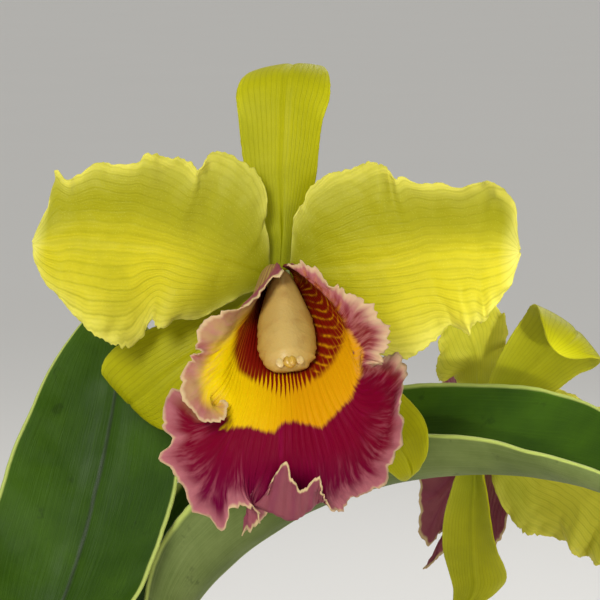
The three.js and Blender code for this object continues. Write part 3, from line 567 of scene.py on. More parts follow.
@dataclass(frozen=True)
class ClayFinish:
    """Fired clay: turning lines, pores, a pale salt bloom under the rim and a damp foot."""

    name: str = "fired_clay"
    clay: Colour = rgb("b8663c")
    dark: Colour = rgb("8c4326")
    salt: Colour = rgb("d9bfa4")
    moss: Colour = rgb("6d6a3c")

    def make(self) -> bpy.types.Material:
        """Builds the material."""
        g = Graph(self.name)
        own = g.place()
        height = g.node("SeparateXYZ", {0: own}).outputs[2]
        turned = g.noise(g.place((3, 3, 420)), 1.0, 3, 0.6)
        cloud = g.noise(own, 26, 6, 0.62)
        grit = g.noise(own, 900, 4, 0.7)
        pores = g.rise(g.cells(own, 420), 0.16, 0.06)
        colour = g.mix(g.rise(cloud, 0.35, 0.68), self.clay, self.dark)
        colour = g.mix(g.times(g.rise(turned, 0.45, 0.7), 0.3), colour, self.dark)
        damp = g.rise(g.add(height, g.times(cloud, 0.03)), 0.05, 0.018)
        colour = g.mix(g.times(damp, 0.55), colour, self.moss)
        crust = g.rise(g.add(g.noise(own, 60, 6, 0.75), g.times(height, 2.2)), 0.66, 0.86)
        colour = g.mix(g.times(crust, 0.6), colour, self.salt)
        colour = g.mix(g.times(pores, 0.5), colour, self.dark)
        relief = g.add(g.times(turned, 0.5), g.add(g.times(grit, 0.35), g.times(pores, -0.6)))
        rough = g.add(0.78, g.times(grit, 0.18))
        return g.dress(colour, rough, relief, 0.5, {"Specular IOR Level": 0.3})


@dataclass(frozen=True)
class BarkFinish:
    """Fir bark chips: layered browns with pale torn fibres, each chip in its own tone."""

    name: str = "bark_chips"
    red: Colour = rgb("6b3f26")
    dark: Colour = rgb("2c1a12")
    tan: Colour = rgb("a87c52")
    grey: Colour = rgb("8a8074")

    def make(self) -> bpy.types.Material:
        """Builds the material."""
        g = Graph(self.name)
        own = g.place()
        tone = g.attribute("tone")
        layers = g.noise(g.place((180, 180, 700)), 1.0, 4, 0.65)
        cloud = g.noise(own, 120, 5, 0.7)
        colour = g.mix(tone, self.dark, self.red)
        colour = g.mix(g.times(g.rise(tone, 0.72, 0.95), 0.8), colour, self.tan)
        colour = g.mix(g.times(g.rise(layers, 0.5, 0.72), 0.55), colour, self.tan)
        colour = g.mix(g.times(g.rise(cloud, 0.56, 0.74), 0.35), colour, self.grey)
        relief = g.add(layers, g.times(g.noise(own, 900, 4), 0.5))
        return g.dress(colour, g.add(0.78, g.times(cloud, 0.15)), relief, 1.1, {"Specular IOR Level": 0.25})


@dataclass(frozen=True)
class BulbFinish:
    """A pseudobulb or creeping stem: furrowed green skin, pale rings and brown scars at its joints."""

    name: str
    green: Colour
    pale: Colour
    scar: Colour = rgb("6a4a26")

    def make(self) -> bpy.types.Material:
        """Builds the material."""
        g = Graph(self.name)
        sheet, _, _ = g.sheet()
        own = g.place()
        streak = g.noise(g.stretched(sheet, (26, 2.5, 1)), 1.0, 4, 0.6)
        cloud = g.noise(own, 60, 5, 0.6)
        spots = g.rise(g.noise(own, 260, 4, 0.7), 0.62, 0.72)
        joint = g.attribute("joint")
        colour = g.mix(g.rise(streak, 0.35, 0.7), self.green, self.pale)
        colour = g.mix(g.times(g.rise(cloud, 0.5, 0.75), 0.5), colour, self.pale)
        colour = g.mix(g.times(spots, 0.5), colour, self.scar)
        colour = g.mix(g.times(joint, 0.75), colour, self.scar)
        relief = g.add(g.times(streak, 0.8), g.add(g.times(cloud, 0.3), g.times(g.noise(own, 900), 0.15)))
        steady = {"Specular IOR Level": 0.45, "Coat Weight": 0.1, "Coat Roughness": 0.35}
        return g.dress(colour, g.add(0.36, g.times(cloud, 0.25)), relief, 0.5, steady)


@dataclass(frozen=True)
class SheathFinish:
    """A dry papery sheath: straw-coloured, with long brown fibres and stains."""

    name: str = "papery_sheath"
    straw: Colour = rgb("cbb98a")
    pale: Colour = rgb("e2d8bb")
    brown: Colour = rgb("8a6a40")

    def make(self) -> bpy.types.Material:
        """Builds the material."""
        g = Graph(self.name)
        sheet, _, out = g.sheet()
        own = g.place()
        fibres = g.noise(g.stretched(sheet, (60, 2.0, 1)), 1.0, 4, 0.65)
        cloud = g.noise(own, 70, 5, 0.65)
        colour = g.mix(g.rise(fibres, 0.35, 0.65), self.straw, self.pale)
        colour = g.mix(g.times(g.rise(fibres, 0.52, 0.7), 0.6), colour, self.brown)
        edge = g.rise(g.add(out, g.times(cloud, 0.3)), 0.95, 1.25)
        colour = g.mix(g.times(edge, 0.8), colour, self.brown)
        colour = g.mix(g.times(g.rise(cloud, 0.52, 0.76), 0.55), colour, self.brown)
        relief = g.add(fibres, g.times(g.noise(own, 800), 0.25))
        steady = {"Specular IOR Level": 0.3, "Sheen Weight": 0.1, "Sheen Roughness": 0.5}
        return g.dress(colour, g.add(0.6, g.times(cloud, 0.2)), relief, 0.5, steady)


@dataclass(frozen=True)
class RootFinish:
    """An aerial root: chalky silver skin, stained, and green at its growing tip."""

    name: str = "root_skin"
    silver: Colour = rgb("cfcdb8")
    stain: Colour = rgb("8c8262")
    tip: Colour = rgb("7f9a46")
    tip_start: float = 0.9  # as a share of the root's length

    def make(self) -> bpy.types.Material:
        """Builds the material."""
        g = Graph(self.name)
        _, _, out = g.sheet()
        own = g.place()
        cloud = g.noise(own, 110, 5, 0.65)
        chalk = g.noise(own, 900, 4, 0.7)
        colour = g.mix(g.rise(cloud, 0.42, 0.72), self.silver, self.stain)
        colour = g.mix(g.times(g.rise(chalk, 0.55, 0.75), 0.4), colour, self.stain)
        colour = g.mix(g.rise(out, self.tip_start, 0.96), colour, self.tip)
        relief = g.add(g.times(chalk, 0.6), cloud)
        return g.dress(colour, g.add(0.7, g.times(chalk, 0.2)), relief, 0.4, {"Specular IOR Level": 0.3})


@dataclass(frozen=True)
class StemFinish:
    """A smooth yellow-green flower stalk with faint long streaks and a purple-brown flush."""

    name: str = "stalk_skin"
    green: Colour = rgb("8fa53c")
    pale: Colour = rgb("b8c266")
    flush: Colour = rgb("7d5a3a")

    def make(self) -> bpy.types.Material:
        """Builds the material."""
        g = Graph(self.name)
        sheet, _, _ = g.sheet()
        own = g.place()
        streak = g.noise(g.stretched(sheet, (22, 3, 1)), 1.0, 3, 0.6)
        cloud = g.noise(own, 120, 4)
        colour = g.mix(g.rise(streak, 0.35, 0.7), self.green, self.pale)
        colour = g.mix(g.times(g.rise(cloud, 0.52, 0.72), 0.45), colour, self.flush)
        relief = g.add(g.times(streak, 0.7), g.times(g.noise(own, 900), 0.2))
        steady = {"Specular IOR Level": 0.45, "Subsurface Weight": 0.08,
                  "Subsurface Radius": (0.7, 1.0, 0.3), "Subsurface Scale": 0.001}
        return g.dress(colour, g.add(0.38, g.times(cloud, 0.2)), relief, 0.35, steady)


@dataclass(frozen=True)
class FloorFinish:
    """The studio's plain pale floor."""

    name: str = "pale_floor"
    pale: Colour = rgb("ebe9e5")
    shade: Colour = rgb("c8c6c0")

    def make(self) -> bpy.types.Material:
        """Builds the material."""
        g = Graph(self.name)
        soft = g.noise(g.place(), 3, 2)
        colour = g.mix(g.times(soft, 0.06), self.pale, self.shade)
        return g.dress(colour, 0.85, steady={"Specular IOR Level": 0.2})


@dataclass(frozen=True)
class Outline:
    """A blade's two margins and its middle line, each from base to tip, in millimetres."""

    upper: Sequence[Point | Vector]
    middle: Sequence[Point | Vector]
    lower: Sequence[Point | Vector]

    def reshaped(self, change: Reshape) -> "Outline":
        """Moves every point.

        Args:
            change: Gives a point's new place.

        Returns:
            The moved outline.
        """
        lines = (self.upper, self.middle, self.lower)
        return Outline(*([change(Vector(p)) for p in line] for line in lines))


# The main bloom's frame: x to its left as it looks out, y to its back, z up. It looks 9 degrees upward.
BLOOM_TILT = math.radians(9)
BLOOM_PLACE = Matrix.Translation((62, -20, 372)) @ Matrix.Rotation(-BLOOM_TILT, 4, "X")
FRONT = Vector((0, -1, 0))

# The viewer, in the same frame: how far off, what is at the picture's middle, and a pixel there
VIEW_DISTANCE = 700.0
VIEW_AIM = (5.6, -5.6)
PIXEL = 0.28
PICTURE = 600

# Outlines of the main bloom's organs
LEFT_PETAL = Outline(
    upper=[
        (-3.2, 1, 3.8), (-3.2, 0, 11), (-4.5, -1, 17.5), (-3.5, -2, 22.5), (-6, -2, 29.5),
        (-11, -1, 33.5), (-18, -1, 36), (-21, -4, 33.5), (-22.5, -6, 30.5), (-26, -5, 33.5),
        (-31.5, -7, 34), (-36.5, -9, 35), (-39, -9, 32.5), (-45.5, -8, 32), (-51, -6, 32.5),
        (-55.5, -5, 29.5), (-59.5, -2, 28), (-63, 1, 31), (-64, 1, 26.5), (-65, -1, 20.5), (-68, -2, 14),
        (-69, -2, 10.5),
    ],
    middle=[
        (-2.8, 1, 1), (-11, -1, 3.5), (-22, -4, 6.5), (-33.5, -5, 9.5), (-44.5, -5, 11), (-55.5, -4, 12),
        (-64, -3, 11), (-69, -2, 10),
    ],
    lower=[
        (-3.2, 1, -1.8), (-10, 0, -4), (-15.5, -1, -7), (-22.5, -1, -10.5), (-28.5, -3, -11),
        (-33.5, -5, -13.5), (-36, -2, -11), (-38, 1, -14.5), (-41.5, 0, -18.5), (-46.5, -2, -18),
        (-52, -4, -15), (-57, -2, -10.5), (-61, -3, -5.5), (-65.5, -1, -0.5), (-68.5, -2, 5),
        (-69, -2, 9.5),
    ],
)
RIGHT_PETAL = Outline(
    upper=[
        (3.2, 1, 3.8), (3.2, 0, 9), (3.5, -1, 13.5), (4, -3, 18), (6.5, -1, 21.5), (8, -1, 25),
        (11, -2, 28), (15, -2, 30), (19.5, -3, 31), (23.5, -4, 32.5), (27, -6, 32.5), (30, -4, 31),
        (31.5, -7, 28), (34, -8, 28.5), (39, -8, 26.5), (44.5, -9, 26.5), (49.5, -8, 25.5), (55, -6, 27),
        (59, -3, 27.5), (63.5, 0, 25), (66, 1, 20.5), (66.5, -1, 14), (67, -2, 8.5),
    ],
    middle=[
        (2.8, 1, 1), (10, 0, 3.5), (19.5, -3, 4.5), (30.5, -5, 6), (41.5, -5, 8), (51.5, -4, 9),
        (60, -3, 9), (67, -2, 8),
    ],
    lower=[
        (3.2, 1, -1.8), (8.5, 1.5, -6), (15.5, 2, -13), (24, 1, -19), (31, 0, -21.5), (35, -1, -22),
        (39, -3, -20), (44, -3, -16), (46.5, -1, -13), (49, 1, -13), (52, -2, -15), (53, -4, -15),
        (54.5, -2, -12), (57.5, 0, -11.5), (59.5, -2, -8), (63, -1, -4), (65.5, -2, 1), (67, -2, 7.5),
    ],
)
DORSAL_SEPAL = Outline(
    upper=[
        (-2.6, 3, 2.8), (-4, 4, 10), (-7, 5, 18.5), (-9.5, 6, 28.5), (-11, 7, 38), (-12, 8, 47.5),
        (-12.5, 10, 53), (-11, 14, 57.5), (-8, 20, 60), (-3.5, 25, 60),
    ],
    middle=[
        (0, 3, 2.8), (0.5, 3, 11.5), (0.5, 3.5, 21), (0.5, 4.5, 31), (1, 5.5, 41), (1.5, 7.5, 51),
        (2, 11, 58), (3.5, 17, 61.5), (3.5, 23, 61.5), (2.5, 28, 60),
    ],
    lower=[
        (2.6, 3, 2.8), (4.2, 4, 10), (7.5, 5, 18.5), (10, 6, 28.5), (11, 7, 38), (12, 8, 45),
        (14, 9, 51.5), (14, 13, 58), (12, 19, 61.5), (8, 25, 60.5),
    ],
)
LEFT_SEPAL = Outline(
    upper=[
        (-3.6, 3, -0.8), (-9, 5, -3.5), (-18.5, 7, -6), (-28, 9, -10), (-37, 10, -14), (-45.5, 11, -18),
        (-50, 13, -22.5), (-51, 16, -26.5), (-49, 20, -27.5), (-45.5, 24, -30),
    ],
    middle=[
        (-2.4, 3, -2.4), (-9, 3, -8), (-16.5, 4, -14.5), (-23.5, 5, -20.5), (-31, 6, -26),
        (-37.5, 8, -31.5), (-41.5, 12, -34.5), (-43, 17, -35.5), (-43, 21, -34.5), (-41.5, 25, -33),
    ],
    lower=[
        (-0.8, 3, -3.6), (-7, 5, -12.5), (-12, 7, -21.5), (-17.5, 8, -30), (-23.5, 9, -37.5),
        (-29, 10, -42), (-33.5, 12, -42.5), (-38, 16, -39.5), (-39.5, 20, -37.5), (-38, 24, -35.5),
    ],
)
RIGHT_SEPAL = Outline(
    upper=[
        (3.6, 3, -0.8), (10, 5, -9), (18.5, 7, -16), (26, 8, -23), (32.5, 6, -30), (37.5, 3, -35),
        (40.5, 1, -39.5), (41.5, 0, -45), (41, 2.5, -50), (38.5, 7, -54),
    ],
    middle=[
        (2.4, 3, -2.4), (7.5, 3, -11), (13.5, 4, -19.5), (19.5, 5, -28), (26, 5, -36.5), (31, 4, -43.5),
        (34.5, 3.5, -48), (36.5, 5, -52), (37.2, 7.5, -54.5), (37, 10.5, -56),
    ],
    lower=[
        (0.8, 3, -3.6), (4, 5, -13.5), (8, 7, -23.5), (12.5, 8, -33.5), (18.5, 8, -42.5), (25, 7, -49),
        (30, 6.5, -53.5), (33, 8.5, -56), (34.5, 11, -57), (35.5, 13.5, -57),
    ],
)
BROAD_LEAF = Outline(
    upper=[
        (-81.5, 2, -140.5), (-83.5, 8, -119), (-87.5, 13, -104), (-88.5, 18, -92), (-87, 23, -78),
        (-82.5, 27, -64), (-78.5, 31, -49.5), (-73, 34, -36.5), (-67.5, 37, -24.5), (-60, 39, -13.5),
        (-51, 40, -4.5),
    ],
    middle=[
        (-78.5, 5, -141.5), (-74, 14, -120), (-68, 20, -105), (-63, 25, -92.5), (-58.5, 30, -78.5),
        (-55, 33, -64), (-52, 36, -51), (-49.5, 38, -38), (-48, 39, -26.5), (-47.5, 40, -14.5),
        (-48.5, 40, -3),
    ],
    lower=[
        (-75, 2, -141), (-64, 4, -118), (-51.5, 6, -104), (-41, 10, -90.5), (-36.5, 14, -80),
        (-33, 17, -70.5), (-30.5, 20, -62), (-29, 24, -51), (-28.5, 29, -39.5), (-33, 34, -24),
        (-46, 39, -5),
    ],
)
ARCHING_LEAF = Outline(
    upper=[
        (-41, 20, -129), (-40.5, 20, -107.5), (-39, 18, -91.5), (-36.5, 20, -80), (-31.5, 22, -71),
        (-24, 22, -62.5), (-11.5, 20, -54), (5.5, 18, -48), (22.5, 16, -44.5), (42.5, 13, -44),
        (56.5, 5, -44.5), (72, -6, -48), (92, -16, -54.5), (110, -19, -69.5),
    ],
    middle=[
        (-36, 26, -129), (-33, 31, -109.5), (-26, 34, -93.5), (-14.5, 37, -81.5), (0.5, 38, -71),
        (16, 38, -63.5), (30.5, 36, -58.5), (43.5, 32, -56), (56.5, 26, -54.5), (69, 18, -54),
        (79.5, 9, -55), (89.5, 0, -56.5), (102, -10, -61.5), (112.5, -16.5, -67.5),
    ],
    lower=[
        (-43, 32, -129), (-45.5, 42, -111), (-46, 49, -95.5), (-42.5, 53, -81), (-35, 55, -66),
        (-23, 56, -52.5), (-6.5, 57, -42), (14.5, 55, -34.5), (35.5, 51, -31.5), (47.5, 47, -30.5),
        (64.5, 38, -30.5), (78.5, 27, -32), (95, 10, -39.5), (115, -12.5, -64.5),
    ],
)
LIP_RINGS = {
    "throat": [
        (-0.6, -6.5, 4.6), (-8.5, -16, -9), (-11.5, -24, -18), (-10.5, -29, -24), (-7, -32, -27.5),
        (-2.5, -34, -29.5), (2.5, -34, -30), (7, -34, -29.5), (13, -32, -27), (17, -30, -22),
        (18.5, -27, -16), (14, -18, -5), (3.2, -10, 4.4),
    ],
    "body": [
        (-0.2, -9, 4.2), (-13, -22, -14), (-15, -34, -25), (-13.5, -37, -33.5), (-11.5, -40, -42.5),
        (-5.5, -42, -46.5), (3, -43, -47), (11, -42, -46.5), (19.5, -39, -40), (21, -36, -30),
        (20.5, -32, -21), (16, -24, -8), (3.4, -12.5, 4.2),
    ],
    "frill": [
        (0.3, -11, 3.4), (-10.5, -20.5, -8), (-17.5, -29, -17.5), (-20.5, -33, -25.5),
        (-18.5, -38, -31.5), (-19, -34.5, -36.5), (-23, -33, -41.5), (-18, -38, -54), (-10, -41, -55),
        (-7.5, -39.5, -58), (-6.5, -38, -59.5), (3.5, -36, -64), (9.5, -38.5, -59.5), (13, -40, -57),
        (19.5, -38, -52.5), (26.5, -35, -45), (29, -33, -33), (25, -31, -25.5), (22, -31, -21),
        (24.5, -29, -14), (18, -24, -6), (10.5, -18, -1), (2.6, -14, 4),
    ],
    "margin": [
        (1, -13, 2.4), (-3.5, -17, -1), (-6.5, -20.5, -5), (-10, -24, -8), (-15.5, -27, -8.5),
        (-21, -27, -12.5), (-22.5, -30, -18), (-21.5, -33.5, -19.8), (-24.5, -34, -21), (-26, -35, -26.5),
        (-24.5, -38, -32), (-21, -41, -36.5), (-16, -44, -38), (-13.5, -42.5, -35.5), (-14.5, -38.5, -33),
        (-21, -33, -32.5), (-28.5, -28, -30), (-31, -29, -38), (-28.5, -31, -43), (-31.5, -31, -47.5),
        (-27.5, -33, -53.5), (-23, -35, -61), (-15, -39, -65.5), (-12.5, -41, -61.5), (-8, -41, -60),
        (-5.5, -39, -62.5), (-7, -36, -66), (-10, -33, -68), (-6.5, -31.5, -66), (-3, -35.5, -62),
        (-3, -40, -57), (-0.5, -46, -50.5), (2, -49, -48.5), (4, -47, -53), (6.5, -45, -55.5),
        (10, -48, -52), (11.5, -46.5, -54), (12, -45, -56.5), (13, -43.5, -59.5), (15.5, -41.5, -61.5),
        (17.5, -37, -60.5), (19.5, -36, -57.5), (22.5, -35, -57), (27, -34, -55.5), (30, -32, -51),
        (31.5, -31, -46.5), (33.5, -30, -39.5), (32.5, -29, -33.5), (33.5, -24, -28.5),
        (34.5, -23, -24.5), (32.5, -24, -20.5), (29.5, -25, -20.5), (27, -28, -22.5), (26.5, -31, -22.5),
        (27, -32, -22), (28, -32, -20), (29, -31, -17), (28.5, -30, -13.5), (27, -28, -10),
        (23.5, -26, -6), (19, -24, -3.5), (16, -23, -2), (13, -21, -2), (10.5, -18, 2.5), (7, -17, 4),
        (4, -16, 4.6), (1.5, -15.5, 4.2),
    ],
}
LIP_BASE = {"centre": (0, -1.4, 0), "radius": 4.1, "lean": 0.0}
LIP_TUBE = {"centre": (0.6, -4.5, -2), "radius": 6.6, "lean": 0.36}
LIP_OPENING = math.radians(12)  # half the angle left open over the column

COLUMN_LINE = [
    (0, 4, 0), (0, -1, -0.2), (0.5, -5, -1), (1, -10, -5.5), (1.5, -16, -11), (2, -23, -17),
    (2.5, -28, -21.5), (3, -30, -24),
]
COLUMN_WIDTHS = [3, 3, 3.4, 5.4, 7.4, 8.1, 7.3, 4.9]
COLUMN_DEPTHS = [3, 3, 3, 3.3, 3.8, 4.4, 4.2, 2.6]


def seen_at(point: Vector) -> tuple[float, float]:
    """Finds where the viewer sees a point of the resting main bloom.

    Args:
        point: The point in the bloom's frame, in millimetres.

    Returns:
        The picture's column and row, in pixels.
    """
    scale = PIXEL * (VIEW_DISTANCE + point.y) / VIEW_DISTANCE
    right, up = (point.x - VIEW_AIM[0]) / scale, (point.z - VIEW_AIM[1]) / scale
    return PICTURE / 2 + right, PICTURE / 2 - up


@dataclass(frozen=True)
class Zone:
    """A patch of the lip's pattern, outlined as the viewer sees it, in picture pixels."""

    corners: Sequence[tuple[float, float]]

    def depth(self, x: float, y: float) -> float:
        """Measures how far inside the patch a place is.

        Args:
            x: The picture's column.
            y: The picture's row.

        Returns:
            The distance from the outline, negative outside it.
        """
        nearest, inside = math.inf, False
        for (ax, ay), (bx, by) in zip(self.corners, (*self.corners[1:], self.corners[0])):
            dx, dy = bx - ax, by - ay
            t = clamp(((x - ax) * dx + (y - ay) * dy) / (dx * dx + dy * dy))
            nearest = min(nearest, math.hypot(x - ax - t * dx, y - ay - t * dy))
            if (ay > y) != (by > y) and x < ax + (y - ay) / dy * dx:
                inside = not inside
        return nearest if inside else -nearest


LIP_ZONES = {
    "throat": Zone([
        (288, 268), (262, 294), (246, 312), (235, 330), (231, 352), (237, 372), (252, 382), (275, 385),
        (300, 385), (320, 379), (334, 365), (345, 345), (348, 325), (343, 300), (330, 281), (306, 268),
    ]),
    "yellow": Zone([
        (288, 300), (247, 316), (232, 336), (216, 350), (204, 374), (208, 398), (221, 410), (229, 421),
        (221, 429), (250, 427), (273, 432), (284, 421), (320, 428), (336, 413), (350, 399), (361, 374),
        (362, 352), (349, 329),
    ]),
    "right_lobe": Zone([
        (284, 256), (345, 262), (400, 290), (425, 345), (412, 396), (384, 372), (352, 374), (364, 366),
        (362, 350), (350, 328), (345, 300), (330, 280), (306, 267),
    ]),
    "left_lobe": Zone([
        (292, 255), (240, 290), (190, 315), (165, 350), (165, 392), (184, 414), (206, 432), (246, 436),
        (256, 400), (240, 330),
    ]),
}
LEFT_LOBE_END = 0.24  # the share of the round where the left lobe folds under into the front lobe
ROUND = 300.0  # the lip's whole round, in picture pixels
FALL_TOP, FALL_FOOT = 405.0, 535.0  # the front lobe's rows
MIDLINE = (281.0, 418.0, 462.0, 2.2)  # the bright line's column, first and last row, and half width
MIDLINE_FADE = 6.0  # rows over which it fades at its ends
RAYS = (284.0, 34.0, 340.0)  # the middle column, half width and first row of the throat's rays
GLOW = (300.0, 215.0)  # columns where the band turns from gold to lemon


@dataclass(kw_only=True)
class Piece:
    """A mesh of the dressed plant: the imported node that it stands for, its slot and its finishes."""

    node: str
    slot: str
    finishes: Sequence[bpy.types.Material]

    def publish(self, bm: bmesh.types.BMesh) -> bpy.types.Object:
        """Turns a mesh in millimetres into a piece of the scene.

        Args:
            bm: The mesh, which is used up.

        Returns:
            The piece.
        """
        bmesh.ops.scale(bm, vec=(MM, MM, MM), verts=bm.verts)
        for face in bm.faces:
            face.smooth = True
        name = "fine_" + self.node
        mesh = bpy.data.meshes.new(name)
        bm.to_mesh(mesh)
        bm.free()
        for finish in self.finishes:
            mesh.materials.append(finish)
        piece = bpy.data.objects.new(name, mesh)
        bpy.context.scene.collection.objects.link(piece)
        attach(piece, BODY)
        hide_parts(self.node)
        LOG.info("%s: %d faces", name, len(mesh.polygons))
        return piece


@dataclass(kw_only=True)
class ThinSheet(Piece):
    """A thin organ laid out on a grid, stout along its middle and thin at its margins."""

    rows: int
    columns: int
    thickness: float
    facing: Vector
    stout: float = 1.0
    thin: float = 0.35

    def place(self, i: int, j: int) -> Vector:
        """Gives the place of the grid's corner in row i and column j."""
        raise NotImplementedError

    def chart(self, i: int, j: int) -> tuple[float, float]:
        """Gives the corner's two coordinates on the sheet."""
        return j / self.columns, i / self.rows

    def relief(self, i: int, j: int, at: Vector) -> float:
        """Gives how far the corner stands out of the plain sheet."""
        return 0.0

    def weight(self, i: int, j: int) -> float:
        """Gives the corner's share of the thickness."""
        return self.stout

    def mark(self, i: int, j: int) -> dict[str, float]:
        """Gives the numbers that the corner keeps for its finish."""
        return {}

    def build(self) -> bpy.types.Object:
        """Builds the sheet.

        Returns:
            The piece, with its thickness as a modifier.
        """
        bm = bmesh.new()
        bmesh.ops.create_grid(bm, x_segments=self.columns, y_segments=self.rows, size=1.0)
        chart = bm.loops.layers.uv.new(CHART)
        weights = bm.verts.layers.deform.verify()
        layers = {name: bm.verts.layers.float.new(name) for name in self.mark(0, 0)}
        spots = {v: (round((v.co.y + 1) / 2 * self.rows), round((v.co.x + 1) / 2 * self.columns))
                 for v in bm.verts}  # each corner's row and column
        for v, spot in spots.items():
            v.co = self.place(*spot)
        bm.normal_update()
        if sum(f.calc_area() * f.normal.dot(self.facing) for f in bm.faces) < 0:
            bmesh.ops.reverse_faces(bm, faces=bm.faces)
            bm.normal_update()
        shifts = {v: v.normal * self.relief(*spot, v.co) for v, spot in spots.items()}
        for v, shift in shifts.items():
            v.co += shift
        for f in bm.faces:
            for loop in f.loops:
                loop[chart].uv = self.chart(*spots[loop.vert])
        for v, spot in spots.items():
            v[weights][0] = self.weight(*spot)
            for name, number in self.mark(*spot).items():
                v[layers[name]] = number
        piece = self.publish(bm)
        piece.vertex_groups.new(name="stout")
        solid = piece.modifiers.new("thickness", "SOLIDIFY")
        solid.thickness = self.thickness * MM
        solid.offset = 0.0
        solid.vertex_group = "stout"
        solid.material_offset = len(self.finishes) - 1
        return piece


@dataclass(kw_only=True)
class Blade(ThinSheet):
    """A leaf, petal or sepal stretched over its two margins and its middle line."""

    outline: Outline
    ruffle: float = 0.5  # crinkles of the margin
    ruffle_size: float = 4.0
    ruffle_reach: float = 5.0  # how fast they fade inward
    teeth: float = 0.01  # unevenness of the margin, as a share of the half width
    groove: float = 0.5
    swell: float = 0.3
    swell_size: float = 16.0
    seed: float = 0.0
    stations: list[list[Vector]] = field(default_factory=list)

    TOOTH_PACE = 0.45  # of the margin's unevenness, a row
    RIB_WIDTH = 0.07  # as a share of the half width
    BASE_FADE = 8  # all relief starts in the first eighth
    TIP_FADE = 5  # and the groove ends in the last fifth
    FINE_SWELL = 0.35  # share of the swellings that are a third as wide
    TIP_THINNING = 12  # the last twelfth thins out

    def __post_init__(self) -> None:
        """Reads the three lines at every row."""
        lines = [Curve(line) for line in (self.outline.upper, self.outline.middle, self.outline.lower)]
        self.stations = [[line.at(i / self.rows) for line in lines] for i in range(self.rows + 1)]

    def chart(self, i: int, j: int) -> tuple[float, float]:
        """Gives the share of the length, and the place across from -1 to 1."""
        x = 2 * j / self.columns - 1
        return i / self.rows, x * (1.3 - 0.3 * x * x)

    def place(self, i: int, j: int) -> Vector:
        """Gives the place of a corner on the plain blade."""
        _, v = self.chart(i, j)
        tooth = noise.noise(Vector((i * self.TOOTH_PACE, math.copysign(7, v), self.seed)))
        v *= 1 + self.teeth * abs(v) ** 9 * tooth
        upper, middle, lower = self.stations[i]
        return upper * (v * (v - 1) / 2) + middle * (1 - v * v) + lower * (v * (v + 1) / 2)

    def relief(self, i: int, j: int, at: Vector) -> float:
        """Gives crinkles at the margin, a groove over the rib and soft swellings."""
        u, v = self.chart(i, j)
        fade = min(1.0, self.BASE_FADE * u)
        crinkle = self.ruffle * abs(v) ** self.ruffle_reach * wander(at, self.ruffle_size, self.seed)
        rib = -self.groove * math.exp(-(v / self.RIB_WIDTH) ** 2) * min(1.0, self.TIP_FADE * (1 - u))
        swelling = self.swell * (wander(at, self.swell_size, self.seed + 3)
                                 + self.FINE_SWELL * wander(at, self.swell_size / 3, self.seed + 5))
        return fade * (crinkle + rib + swelling)

    def weight(self, i: int, j: int) -> float:
        """Gives a full middle and a thin margin and tip."""
        u, v = self.chart(i, j)
        edge = max(abs(v) ** 6, max(0.0, self.TIP_THINNING * (u - 1) + 1) ** 2)
        return lerp(self.stout, self.thin, edge)


